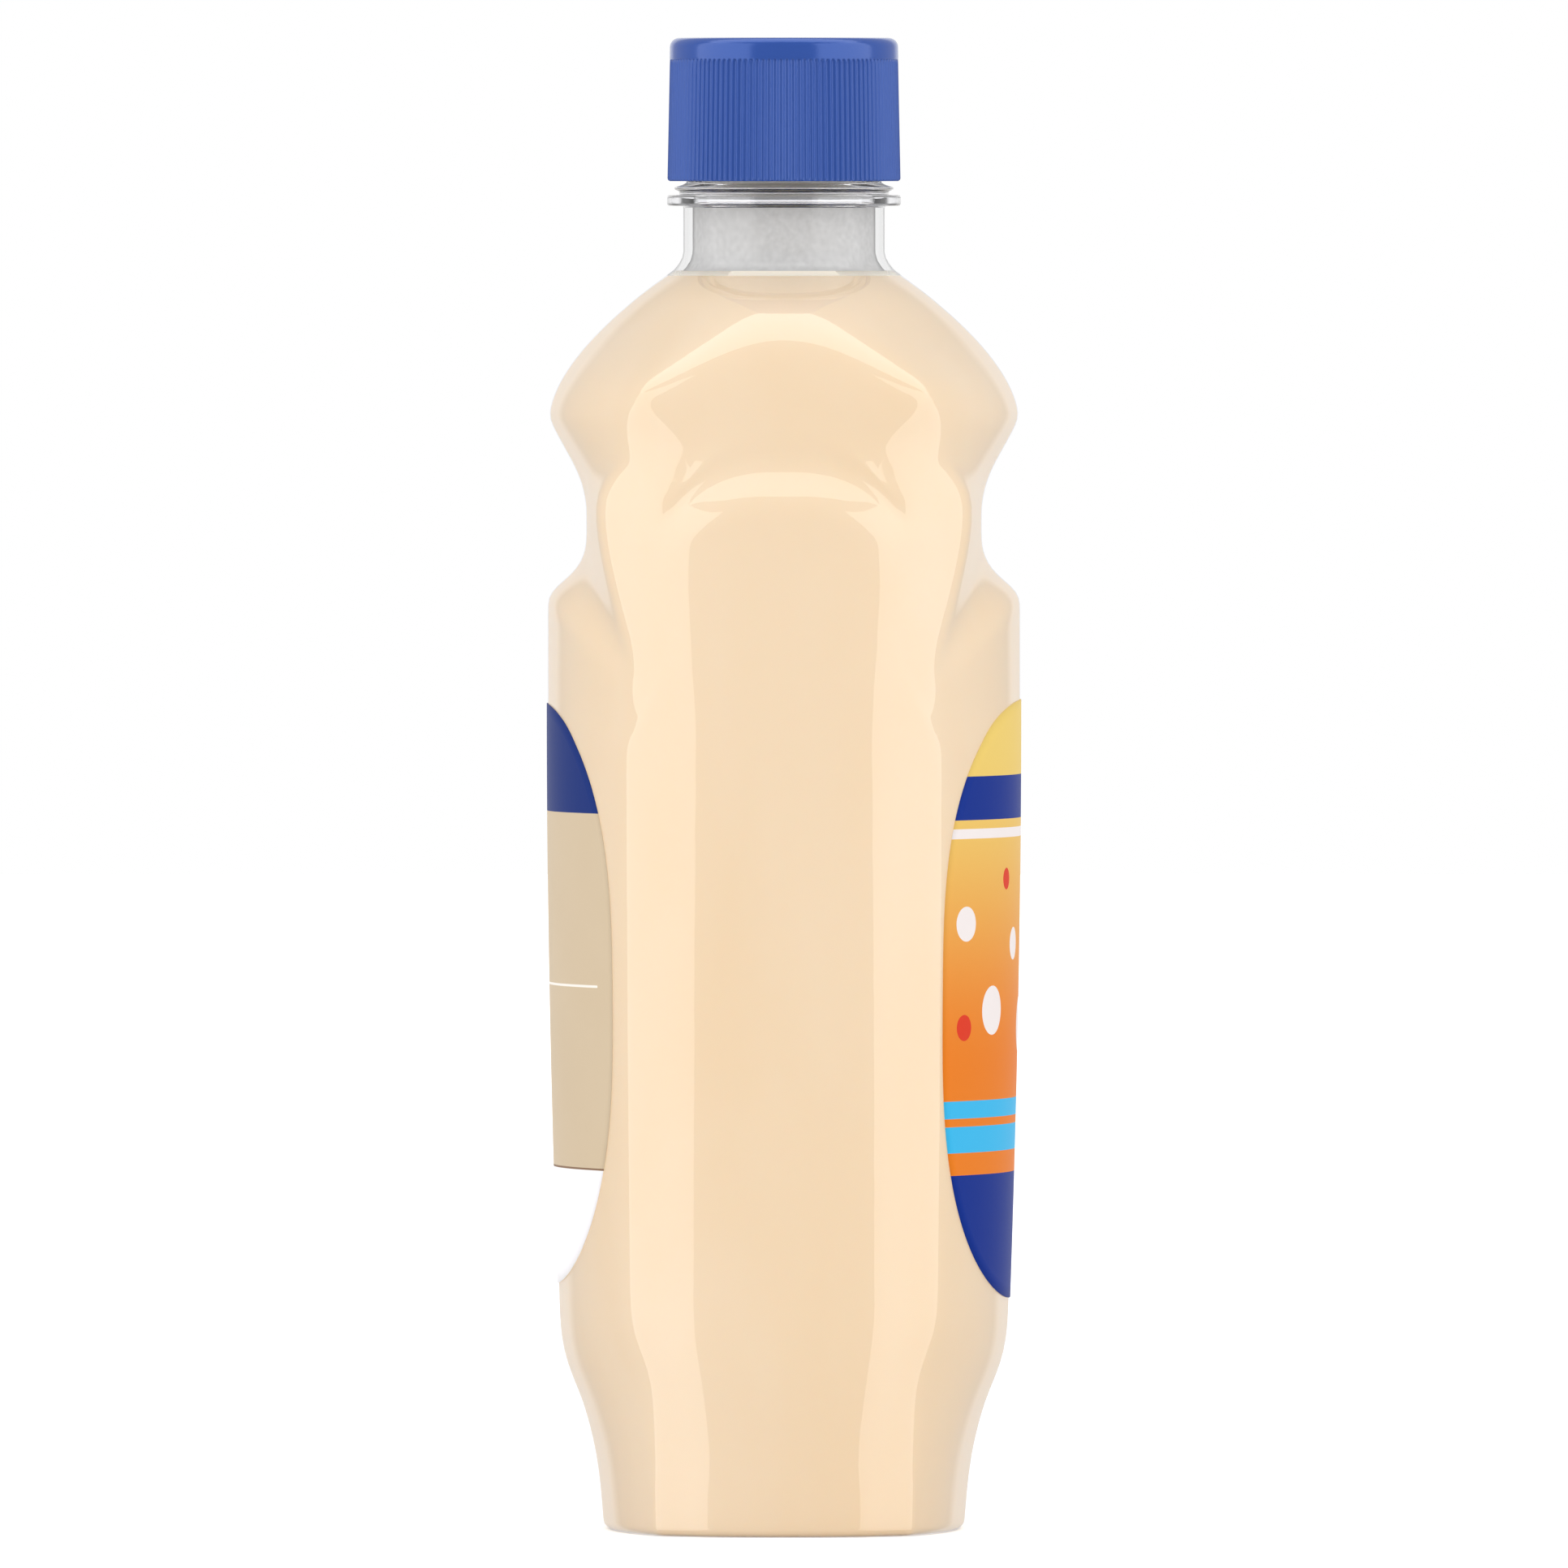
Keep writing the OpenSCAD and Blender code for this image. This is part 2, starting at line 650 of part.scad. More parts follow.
// Half widths of the two threads at radius r, and how far the cap's thread lies under the neck's
thread_sunk = 0.3;
neck_root = finish_r - thread_sunk;
neck_crest = finish_r + thread_d;
cap_root = skirt_r + thread_sunk;
cap_crest = finish_r + crest_gap;
function half_width(root, crest, root_w, tip_w, r) = mix(root_w, tip_w, (r - root) / (crest - root)) / 2;
thread_drop = flank_gap
    + half_width(neck_root, neck_crest, thread_w, crest_w, cap_crest)
    + half_width(cap_root, cap_crest, cap_thread_w, cap_crest_w, cap_crest);

module cap() {
    color([0.235, 0.35, 0.655]) {
        difference() {
            union() {
                rotate_extrude() cap_profile();
                intersection() {
                    translate([0, 0, z_skirt]) linear_extrude(z_top - z_skirt) rib_star();
                    rotate_extrude() rib_profile();
                }
            }
            translate([0, 0, z_skirt - 1]) cylinder(r = skirt_r, h = z_liner - z_skirt + 1);
        }
        thread(cap_root, cap_crest, cap_thread_w, cap_crest_w, z_mouth - thread_down - thread_drop);
    }
}

bottle();
soap();
front_label();
back_label();
cap_liner();
cap();
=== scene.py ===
"""Hand soap refill bottle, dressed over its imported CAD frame: clear skin, soap, labels, cap and studio."""

import bisect
import math

import bmesh
import bpy
from bpy.props import FloatProperty, FloatVectorProperty, IntProperty, PointerProperty
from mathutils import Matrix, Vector


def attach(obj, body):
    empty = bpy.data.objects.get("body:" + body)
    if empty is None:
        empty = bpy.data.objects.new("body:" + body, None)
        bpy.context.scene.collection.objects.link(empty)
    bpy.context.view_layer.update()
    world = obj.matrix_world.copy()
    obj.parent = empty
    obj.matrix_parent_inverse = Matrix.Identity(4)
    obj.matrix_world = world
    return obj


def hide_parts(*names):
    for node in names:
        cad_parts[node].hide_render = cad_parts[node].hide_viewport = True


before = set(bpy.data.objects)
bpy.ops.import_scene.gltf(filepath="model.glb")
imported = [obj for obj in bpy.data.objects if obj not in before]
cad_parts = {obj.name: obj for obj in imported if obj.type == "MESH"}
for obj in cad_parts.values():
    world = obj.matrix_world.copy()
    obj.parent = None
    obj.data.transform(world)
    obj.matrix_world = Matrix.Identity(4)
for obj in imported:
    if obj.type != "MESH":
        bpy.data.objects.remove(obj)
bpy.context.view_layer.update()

bl_info = {
    "name": "Hand soap refill bottle",
    "version": (1, 0, 0),
    "blender": (4, 5, 0),
    "location": "3D View > Sidebar > Refill bottle",
    "description": "Makes a clear refill bottle with its soap, labels, ribbed cap and studio",
    "category": "Add Mesh",
}

MM = 0.001

# The photograph's side in pixels, and the size of its pixel at the bottle in millimetres
IMAGE_SIDE, PIXEL = 1932, 0.1494
# How far a row of the body dips below its height at the middle, in millimetres: over the whole
# shoulder, over the side's step, and on the round part of the shoulder
SHOULDER_DIP, SIDE_DIP, ROUND_DIP = 7, 12, 3
# The arch of the label panel grows between these depths under the panel's upper edge
ARCH_START, ARCH_END = 42, 6
# The flat ring that the foot stands on, and the height of the pushed-up middle of the base
FLAT_RING, PUSH_UP = 4, 11
# The blown edges are softened from this height up
SOFT_FROM = 9
# Columns of a quarter's skin over the side panel, the corner strip and the front
SIDE_COLUMNS, STRIP_COLUMNS, FRONT_COLUMNS = 12, 6, 26
# Share of the wall that is left over the soap
SOAP_COVER = 0.2
# Steps in a turn of a thread, and how many of them its ends take to run out into the wall
THREAD_STEPS, THREAD_RUN = 64, 8
# Start of the neck's thread below the mouth, how far a thread's root is sunk in its wall, and the
# widths of the neck's thread at its root and its crest
THREAD_START, SINK, NECK_THREAD = 13.5, 0.05, (2.6, 1.0)
# Widths of the cap's thread, its gap to the neck's wall, and how far it lies under the neck's
CAP_THREAD, CAP_THREAD_GAP, CAP_THREAD_DROP = (1.8, 0.7), 0.25, 1.89
# Share of the ribs' spacing that a groove takes up, and the run in which it ends under the band
GROOVE_SHARE, GROOVE_RUN = 0.78, 1.0
# Powers of the labels' round-cornered outlines, and the rings and segments of their films
FRONT_POWER, BACK_POWER = 3.1, 2.85
FILM_RINGS, FILM_SEGMENTS = 24, 192
# Half width of a printed band that runs past the label's edges, and radius of a square corner
WIDE, SQUARE = 60, 0.01
# Bubbles of the front label's generic print: place across, height and radius
PALE_BUBBLES = (
    (-37.5, 112, 3.2),
    (-27, 96, 4.5),
    (-14, 108, 3),
    (-3, 93, 5),
    (9, 117, 2.4),
    (20, 101, 4),
    (33, 94, 2.6),
    (38, 118, 3),
)
WARM_BUBBLES = ((-38, 93, 2.4), (-20, 120, 2), (6, 103, 2.6), (29, 112, 3))
# What a reflection sees of the studio's walls: place from -X, behind the camera, to +X, and grey
STUDIO_WALLS = ((0.0, 0.3), (0.5, 0.3), (0.62, 0.55), (0.925, 0.55), (0.95, 1.0))


# Properties


def length(name, text, mm, low=0.0):
    """A length property, given in millimetres and kept in metres."""
    return FloatProperty(name=name, description=text, default=mm * MM, min=low, unit="LENGTH", precision=5)


def paint(name, text, code):
    """A colour property from an sRGB hex value."""
    return FloatVectorProperty(
        name=name, description=text, default=linear(code), size=4, subtype="COLOR", min=0.0, max=1.0
    )


def linear(code):
    """Linear RGBA of an sRGB hex value such as "F7DFBD"."""
    parts = [int(code[i : i + 2], 16) / 255 for i in (0, 2, 4)]
    return tuple(c / 12.92 if c <= 0.04045 else ((c + 0.055) / 1.055) ** 2.4 for c in parts) + (1.0,)


class BodySizes(bpy.types.PropertyGroup):
    """Sizes of the blown body."""

    width: length("Width", "Width over the side panels", 107)
    depth: length("Depth", "Depth over the label panels", 87)
    belly: length("Belly depth", "Depth at the bottom of the label panels", 82.6)
    waist: length("Waist depth", "Depth across the finger recesses", 72.8)
    brow: length("Brow depth", "Depth at the lower edge of the shoulder", 86.6)
    side_waist: length("Side waist", "How far the side waist lies inside the side panel", 6.2)
    side_shoulder: length("Side shoulder", "How far the shoulder lies inside the side panel", 6)
    foot_width: length("Foot width", "Width of the foot", 98)
    foot_depth: length("Foot depth", "Depth of the foot", 68)
    foot_draft: length("Foot draft", "How much the foot draws in towards the floor", 1.6)
    foot_edge: length("Foot edge", "Radius of the edge that the foot stands on", 1.8)
    foot_height: length("Foot height", "Height of the straight foot", 12)
    flare_height: length("Flare height", "Height of the curve from the foot to the panel", 25)
    panel_height: length("Panel height", "Height of the label panel at its middle", 134)
    ledge_height: length("Ledge height", "Height of the ledge into the finger recess", 11)
    grip_height: length("Grip height", "Height of the recess floor", 8)
    brow_height: length("Brow height", "Height of the slope out to the shoulder", 14.4)
    dome_height: length("Dome height", "Height of the domed shoulder", 27)
    throat_height: length("Throat height", "Height of the curve into the neck", 3.6)
    arch: length("Arch", "How far the panel's upper edge drops towards the corners", 18)
    wall: length("Wall", "Thickness of the blown wall", 0.6)
    edge_softness: IntProperty(
        name="Edge softness", description="Passes that round the blown edges", default=4, min=0, max=12
    )


class NeckSizes(bpy.types.PropertyGroup):
    """Sizes of the moulded neck."""

    radius: length("Neck radius", "Outer radius under the support ring", 18.5)
    throat: length("Throat radius", "Radius where the shoulder meets the throat", 20.5)
    bore: length("Bore radius", "Radius of the pour opening", 16.8)
    height: length("Neck height", "Height of the plain neck", 8.4)
    ring: length("Ring radius", "Radius of the support ring", 21.5)
    ring_height: length("Ring height", "Thickness of the support ring", 2)
    bead: length("Bead radius", "Radius of the bead over the ring", 20.2)
    bead_height: length("Bead height", "Height of the bead with its undercut", 2.1)
    finish: length("Finish radius", "Outer radius between the threads", 17.95)
    finish_height: length("Finish height", "Height of the threaded finish", 24.25)
    pitch: length("Pitch", "Rise of the thread in one turn", 4.233)
    thread: length("Thread height", "Height of the thread above the wall", 0.85)
    turns: FloatProperty(name="Turns", description="Turns of thread", default=1.5, min=1, max=2)


class CapSizes(bpy.types.PropertyGroup):
    """Sizes of the screw cap."""

    skirt: length("Skirt radius", "Outer radius at the skirt's lower edge", 21.45)
    crown: length("Crown radius", "Outer radius under the rounded top edge", 20.95)
    edge: length("Edge radius", "Radius of the rounded top edge", 1.7)
    band: length("Band height", "Height of the smooth band at the top", 3.9)
    bore: length("Cap bore", "Inner radius of the skirt", 19.2)
    top: length("Top thickness", "Thickness of the cap's top", 1.55)
    liner: length("Disc thickness", "Thickness of the sealing disc", 1)
    gap: length("Skirt gap", "Gap between the bead and the skirt", 0.45)
    groove: length("Groove depth", "Depth of the grooves between the ribs", 0.35)
    ribs: IntProperty(name="Ribs", description="Ribs round the skirt", default=120, min=60, max=160)


class LabelSizes(bpy.types.PropertyGroup):
    """Sizes and print of the two film labels."""

    front_width: length("Front half width", "Half width of the front label", 44.4)
    front_height: length("Front half height", "Half height of the front label", 55)
    front_middle: length("Front middle", "Height of the front label's middle", 97.6)
    back_width: length("Back half width", "Half width of the back label", 40.7)
    back_height: length("Back half height", "Half height of the back label", 53.3)
    back_middle: length("Back middle", "Height of the back label's middle", 98.6)
    film: length("Film", "Thickness of the film", 0.1)
    glue: length("Glue", "Gap between the film and the panel", 0.08)
    navy: paint("Navy", "Dark field of the print", "0F2F88")
    cyan: paint("Cyan", "Bright band of the print", "3BB3E4")
    orange: paint("Orange", "Foot of the front's upper field", "E27B20")
    yellow: paint("Yellow", "Top of the front's upper field", "E5C66B")
    cream: paint("Cream", "Pale bubbles and stripe of the front label", "EAE2E0")
    warm: paint("Warm red", "Warm bubbles of the front label", "D63A22")
    back_navy: paint("Back navy", "Top of the back label", "1C3377")
    back_tint: paint("Back tint", "Tinted clear middle of the back label", "CDB99B")
    back_white: paint("Back white", "Foot of the back label", "FAF9FC")


class Finishes(bpy.types.PropertyGroup):
    """Colours of the moulded pieces, the soap and the floor."""

    soap: paint("Soap", "Colour of the liquid soap", "F6DAB2")
    pearl: paint("Pearl", "Paler veils in the soap", "F8DFBC")
    cap: paint("Cap", "Colour of the cap", "2E4E9B")
    cap_gloss: paint("Cap gloss", "Tint of the cap's reflections", "A8C0FF")
    clear: paint("Clear", "Tint of the clear plastic", "FAFAFC")
    disc: paint("Disc", "Colour of the sealing disc", "F2F1EC")
    floor: paint("Floor", "Colour of the floor", "F4F4F5")
    fill: FloatProperty(name="Fill", description="Level of the studio's even light", default=1.2, min=0.0)
    card: FloatProperty(name="Card", description="Brightness of the side softboxes", default=1.8, min=0.0)
    top_card: FloatProperty(
        name="Top card", description="Brightness of the top softbox", default=2.0, min=0.0
    )


# Shape of the blown body, in millimetres


def mix(a, b, t):
    """Value between a and b."""
    return a + (b - a) * t


def ease(a, b, z):
    """Smooth step from 0 at a to 1 at b."""
    t = min(1.0, max(0.0, (z - a) / (b - a)))
    return t * t * (3 - 2 * t)


class Line:
    """A monotone curve through stations of height and value, in millimetres."""

    def __init__(self, *stations):
        self.heights, self.values = zip(*stations)
        pairs = list(zip(stations, stations[1:]))
        rises = [(b[1] - a[1]) / (b[0] - a[0]) for a, b in pairs]
        inner = [0.0 if a * b <= 0 else 2 * a * b / (a + b) for a, b in zip(rises, rises[1:])]
        self.leans = [rises[0], *inner, rises[-1]]
        self.known = {}

    def at(self, z):
        """Value at height z."""
        if z not in self.known:
            k = max(0, min(bisect.bisect_right(self.heights, z), len(self.heights) - 1) - 1)
            h = self.heights[k + 1] - self.heights[k]
            t = min(1.0, max(0.0, (z - self.heights[k]) / h))
            ends = self.values[k] * (1 + 2 * t) * (1 - t) ** 2 + self.values[k + 1] * t * t * (3 - 2 * t)
            bend = (1 - t) * self.leans[k] - t * self.leans[k + 1]
            self.known[z] = ends + h * t * (1 - t) * bend
        return self.known[z]


class BodyShape:
    """The body's skin: a point for each row v and each share f of a quarter's three parts."""

    def __init__(self, body, neck):
        for name in body.__annotations__:
            value = getattr(body, name)
            setattr(self, name, value if name == "edge_softness" else value / MM)
        self.neck_r = neck.radius / MM
        self.throat_r = neck.throat / MM
        self.bore_r = neck.bore / MM
        self.z_flare = self.foot_height + self.flare_height
        self.z_ledge = self.z_flare + self.panel_height
        self.z_grip = self.z_ledge + self.ledge_height
        self.z_brow = self.z_grip + self.grip_height
        self.z_dome = self.z_brow + self.brow_height
        self.z_throat = self.z_dome + self.dome_height
        self.z_neck = self.z_throat + self.throat_height
        self.half = self.width / 2
        self.lay_lines()

    def lay_lines(self):
        """Stations of height and value along the body."""
        foot, flare, ledge, grip = self.foot_height, self.z_flare, self.z_ledge, self.z_grip
        brow, dome, lift = self.z_brow, self.z_dome, self.flare_height
        side = self.half - self.side_waist
        shoulder = self.half - self.side_shoulder
        z_side = self.z_side = grip + 0.8 * self.grip_height
        self.depths = Line(
            (0, (self.foot_depth - self.foot_draft) / 2),
            (foot, self.foot_depth / 2 + 0.4),
            (foot + 0.45 * lift, mix(self.foot_depth, self.belly, 0.42) / 2),
            (foot + 0.75 * lift, mix(self.foot_depth, self.belly, 0.84) / 2),
            (flare, self.belly / 2),
            (ledge - 20, self.depth / 2),
            (ledge, self.depth / 2),
            (ledge + 1, self.depth / 2 - 0.3),
            (ledge + 0.5 * self.ledge_height, mix(self.depth, self.waist, 0.72) / 2),
            (ledge + 0.75 * self.ledge_height, mix(self.depth, self.waist, 0.93) / 2),
            (grip, self.waist / 2),
            (grip + 0.7 * self.grip_height, self.waist / 2),
            (brow + 0.1 * self.brow_height, mix(self.waist, self.brow, 0.09) / 2),
            (dome - 1.2, mix(self.waist, self.brow, 0.92) / 2),
            (dome, self.brow / 2),
        )
        self.widths = Line(
            (0, self.foot_width / 2 - 0.6),
            (foot, self.foot_width / 2 + 0.4),
            (flare, self.half - 0.9),
            (flare + 30, self.half - 0.2),
            (z_side - 20, self.half),
            (z_side - 0.6, self.half - 0.1),
            (z_side + 0.6, self.half - 0.6),
            (z_side + 8, side + 0.4),
            (z_side + 9, side),
            (z_side + 11, side + 0.1),
            (dome, mix(side, shoulder, 0.8)),
            (dome + 6, shoulder),
        )
        self.front_edges = Line(
            (0, 23.3),
            (foot + 0.55 * lift, 23.8),
            (flare + 4, 27.6),
            (ledge - 27, 27.9),
            (ledge - 20, 26.7),
            (brow - 2, 34.4),
            (brow + 1, 33.8),
            (brow + 7, 29.0),
            (dome + 3.6, 27.0),
            (dome + 9, 26.2),
        )
        self.front_insets = Line(
            (0, 6.8),
            (foot, 6.8),
            (flare + 4, 7.4),
            (ledge - 20, 7.4),
            (brow - 2, 14.5),
            (brow + 1, 14.4),
            (brow + 7, 13.0),
            (dome + 3.6, 9.8),
            (dome + 9, 10.6),
        )
        self.side_edges = Line(
            (0, 16.0),
            (foot, 16.0),
            (flare + 4, 18.5),
            (ledge - 27, 18.5),
            (ledge - 6, 19.5),
            (grip + 3, 22.5),
            (brow, 20.5),
            (brow + 6, 14.9),
            (dome + 3.6, 26.0),
            (dome + 9, 25.2),
        )
        self.side_insets = Line(
            (0, 2.3),
            (ledge - 6, 2.7),
            (grip - 3, 3.7),
            (brow - 1, 5.5),
            (brow + 6, 6.6),
            (dome + 3.6, 9.0),
            (dome + 9, 10.2),
        )

    def dome(self, shoulder, power, z):
        """Radius of the domed shoulder."""
        return mix(self.throat_r, shoulder, 1 - ((z - self.z_dome) / self.dome_height) ** power)

    def throat_at(self, z):
        """Radius of the curve into the neck."""
        t = min(1.0, (z - self.z_throat) / self.throat_height)
        return mix(self.neck_r, self.throat_r, (1 - t) ** 1.8)

    def depth_at(self, z):
        """Half depth at the middle."""
        if z >= self.z_throat:
            return self.throat_at(z)
        return self.dome(self.brow / 2, 1.7, z) if z > self.z_dome else self.depths.at(z)

    def width_at(self, z):
        """Half width at the middle."""
        if z >= self.z_throat:
            return self.throat_at(z)
        shoulder = self.half - self.side_shoulder
        return self.dome(shoulder, 4, z) if z > self.z_dome + 6 else self.widths.at(z)

    def flank(self, z):
        """Half width that the edges' insets are measured from."""
        return self.width_at(z) if z < self.z_ledge else self.half

    def edge_x(self, z):
        """Half width at which the label panel meets the corner strip."""
        return self.flank(z) - self.front_insets.at(z)

    def front_y(self, x, z, v):
        """Half depth of the label panel beside its middle."""
        share = min(1.0, abs(x) / self.edge_x(z)) ** 2.1
        return mix(self.depth_at(v), self.front_edges.at(z), share)

    def arch_at(self, v):
        """How far row v of the label panel drops towards the corners."""
        return self.arch * ease(self.z_ledge - ARCH_START, self.z_ledge - ARCH_END, v)

    def shaped(self, v, part, f):
        """Point of the shaped body on part 0, the side panel, 1, the strip, or 2, the front."""
        top = SHOULDER_DIP * ease(self.z_dome, self.z_dome + 21, v)
        drop_c = top + self.arch_at(v) * (1 - ease(self.z_grip, self.z_brow + 4, v))
        drop_b = SIDE_DIP * ease(self.z_grip - 12, self.z_side + 8.5, v)
        drop_b = top + drop_b * (1 - ease(self.z_brow + 8, self.z_dome + 4, v))
        zc, zb, w = v - drop_c, v - drop_b, self.width_at(v)
        xc, yc = self.edge_x(zc), self.front_edges.at(zc)
        xb, yb = self.flank(zb) - self.side_insets.at(zb), self.side_edges.at(zb)
        if part == 0:
            bow = mix(3, 2.3, ease(self.z_brow + 8, self.z_dome + 6, v))
            return Vector((mix(w, min(xb, w), f**2.6), f * yb, v - drop_b * f**bow))
        if part == 1:
            return Vector((mix(xb, xc, f), mix(yb, yc, f), mix(zb, zc, f)))
        x = xc * (1 - f)
        z = v - drop_c * (x / xc) ** 2
        return Vector((x, self.front_y(x, z, v), z))

    def rounded(self, v, part, f):
        """Point of the round shoulder and throat."""
        a = math.radians((24 * f, 24 + 11 * f, 35 + 55 * f)[part])
        middle = self.z_dome + 16
        dip = ROUND_DIP * ease(self.z_dome, middle, v) * (1 - ease(middle, self.z_throat, v))
        low = dip * math.sin(2 * a) ** 2
        return Vector((self.width_at(v) * math.cos(a), self.depth_at(v) * math.sin(a), v - low))

    def point(self, v, part, f):
        """Point of the outer skin, from the shaped body to the round shoulder."""
        k = ease(self.z_dome + 4, self.z_dome + 22, v)
        if k >= 1:
            return self.rounded(v, part, f)
        return self.shaped(v, part, f).lerp(self.rounded(v, part, f), k)

    def foot_point(self, inset, z, part, f):
        """Point of the standing edge, drawn in by inset."""
        p = self.point(self.foot_edge, part, f)
        a = 1 - inset / self.width_at(self.foot_edge)
        b = 1 - inset / self.depth_at(self.foot_edge)
        return Vector((p.x * a, p.y * b, z))

    def push_point(self, s, part, f):
        """Point of the pushed-up base at share s from its middle."""
        p = self.foot_point(self.foot_edge + FLAT_RING, 0, part, f)
        return Vector((p.x * s, p.y * s, PUSH_UP * (1 - s**3)))

    def wall_at(self, z):
        """Thickness of the wall, which grows towards the neck."""
        return mix(self.wall, self.neck_r - self.bore_r, ease(self.z_throat - 4, self.z_neck, z))


# Mesh helpers


def column_place(j):
    """Part of the quarter and share over it for column j."""
    if j <= SIDE_COLUMNS:
        return 0, j / SIDE_COLUMNS
    if j <= SIDE_COLUMNS + STRIP_COLUMNS:
        return 1, (j - SIDE_COLUMNS) / STRIP_COLUMNS
    return 2, (j - SIDE_COLUMNS - STRIP_COLUMNS) / FRONT_COLUMNS


def even_rows(low, high, step):
    """Heights from low to high, about step apart, both ends kept."""
    n = max(1, round((high - low) / step))
    return [mix(low, high, i / n) for i in range(n + 1)]


def body_rows(shape):
    """Rows of the skin from the middle of the base up to the neck, as functions of part and share."""
    rows = [lambda p, f, s=s / 14: shape.push_point(s, p, f) for s in range(15)]
    rows += [
        lambda p, f, a=math.radians(15 * a): shape.foot_point(
            shape.foot_edge * (1 - math.sin(a)), shape.foot_edge * (1 - math.cos(a)), p, f
        )
        for a in range(6)
    ]
    # Rows lie 2.4 mm apart on the plain panel, and 1.1 mm from its arched part up.
    arched = shape.z_ledge - 36
    heights = even_rows(shape.foot_edge, arched, 2.4)
    heights += even_rows(arched, shape.z_neck, 1.1)[1:]
    return rows + [lambda p, f, v=v: shape.point(v, p, f) for v in heights]


def blown_skin(context):
    """The body's outer skin as a new bmesh, open at the neck; its mesh is kept for the next piece."""
    shape = current_shape(context)
    sizes = repr([getattr(shape, name) for name in context.scene.refill_body.__annotations__])
    kept = bpy.data.meshes.get("blown_skin")
    bm = bmesh.new()
    if kept and kept["sizes"] == sizes:
        bm.from_mesh(kept)
    else:
        skin(bm, body_rows(shape), shape.edge_softness, shape.z_throat - 6)
        kept = bpy.data.meshes.new("blown_skin")
        kept["sizes"] = sizes
        bm.to_mesh(kept)
    bm.normal_update()
    return shape, bm


def skin(bm, rows, softness, free_top):
    """Lofts a quarter from a grid through the rows, mirrors it to the whole skin and softens its edges."""
    columns = SIDE_COLUMNS + STRIP_COLUMNS + FRONT_COLUMNS
    last = len(rows) - 1
    made = bmesh.ops.create_grid(bm, x_segments=columns, y_segments=last, size=0.5)
    for v in made["verts"]:
        i, j = round((v.co.y + 0.5) * last), round((v.co.x + 0.5) * columns)
        v.co = rows[i](*column_place(j)) * MM
    for axis in "XY":
        bmesh.ops.mirror(bm, geom=bm.verts[:] + bm.edges[:] + bm.faces[:], axis=axis, merge_dist=1e-6)
    bmesh.ops.remove_doubles(bm, verts=bm.verts, dist=2e-6)
    soft = [v for v in bm.verts if SOFT_FROM * MM < v.co.z < free_top * MM]
    for _ in range(softness):
        bmesh.ops.smooth_vert(bm, verts=soft, factor=0.5, use_axis_x=True, use_axis_y=True, use_axis_z=True)
    bmesh.ops.recalc_face_normals(bm, faces=bm.faces)
    bm.normal_update()
    widest = max(bm.faces, key=lambda f: f.calc_center_median().x)
    if widest.normal.x < 0:
        bmesh.ops.reverse_faces(bm, faces=bm.faces)


def raise_rings(bm, edges, profile):
    """Extrudes an open round rim through a profile of radius and height, and gives back the last rim."""
    for r, z in profile:
        made = bmesh.ops.extrude_edge_only(bm, edges=edges)["geom"]
        for v in (g for g in made if isinstance(g, bmesh.types.BMVert)):
            flat = Vector((v.co.x, v.co.y)).normalized() * r * MM
            v.co = (flat.x, flat.y, z * MM)
        edges = [g for g in made if isinstance(g, bmesh.types.BMEdge)]
    return edges


def spin_profile(bm, profile, steps):
    """Spins a profile of radius and height about the upright axis into a closed skin."""
    points = [bm.verts.new((r * MM, 0, z * MM)) for r, z in profile]
    edges = [bm.edges.new(pair) for pair in zip(points, points[1:])]
    bmesh.ops.spin(
        bm,
        geom=points + edges,
        cent=(0, 0, 0),
        axis=(0, 0, 1),
        angle=2 * math.pi,
        steps=steps,
        use_merge=True,
    )
    bmesh.ops.remove_doubles(bm, verts=bm.verts, dist=1e-6)
    bmesh.ops.recalc_face_normals(bm, faces=bm.faces)


def helix(bm, root, crest, root_width, crest_width, start, pitch, turns):
    """Spins a ridge of a screw thread, drawn in at both of its ends."""
    steps = round(THREAD_STEPS * turns)
    way = 1 if crest > root else -1
    section = [(root, -root_width), (crest, -crest_width), (crest, crest_width), (root, root_width)]
    corners = [bm.verts.new((r * MM, 0, (start + w / 2) * MM)) for r, w in section]
    geom = [bm.faces.new(corners)]
    rings = [corners]
    for _ in range(steps):
        made = bmesh.ops.spin(
            bm,
            geom=geom,
            cent=(0, 0, 0),
            axis=(0, 0, 1),
            dvec=(0, 0, pitch * turns * MM / steps),
            angle=2 * math.pi * turns / steps,
            steps=1,
        )
        geom = made["geom_last"]
        rings.append([g for g in geom if isinstance(g, bmesh.types.BMVert)])
    for k, ring in enumerate(rings):
        share = min(1.0, min(k, steps - k) / THREAD_RUN)
        for v in ring:
            r = v.co.xy.length / MM
            if way * (r - root) > SINK:
                v.co.xy *= mix(root, r, max(0.02, share)) / r
    faces = {f for ring in rings for v in ring for f in v.link_faces}
    bmesh.ops.recalc_face_normals(bm, faces=list(faces))


def finish_piece(name, bm, body, slot, materials, *nodes):
    """Makes the object of a piece, smooth shaded, riding on its body in place of its CAD nodes."""
    mesh = bpy.data.meshes.new(name)
    bm.to_mesh(mesh)
    bm.free()
    mesh.shade_smooth()
    obj = bpy.data.objects.new(name, mesh)
    bpy.context.scene.collection.objects.link(obj)
    for material in materials:
        mesh.materials.append(material)
    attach(obj, body)
    if nodes:
        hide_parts(*nodes)
    return obj


# Materials


def new_material(name):
    """An empty node material and its tree with an output."""
    material = bpy.data.materials.new(name)
    material.use_nodes = True
    material.node_tree.nodes.clear()
    return material, material.node_tree


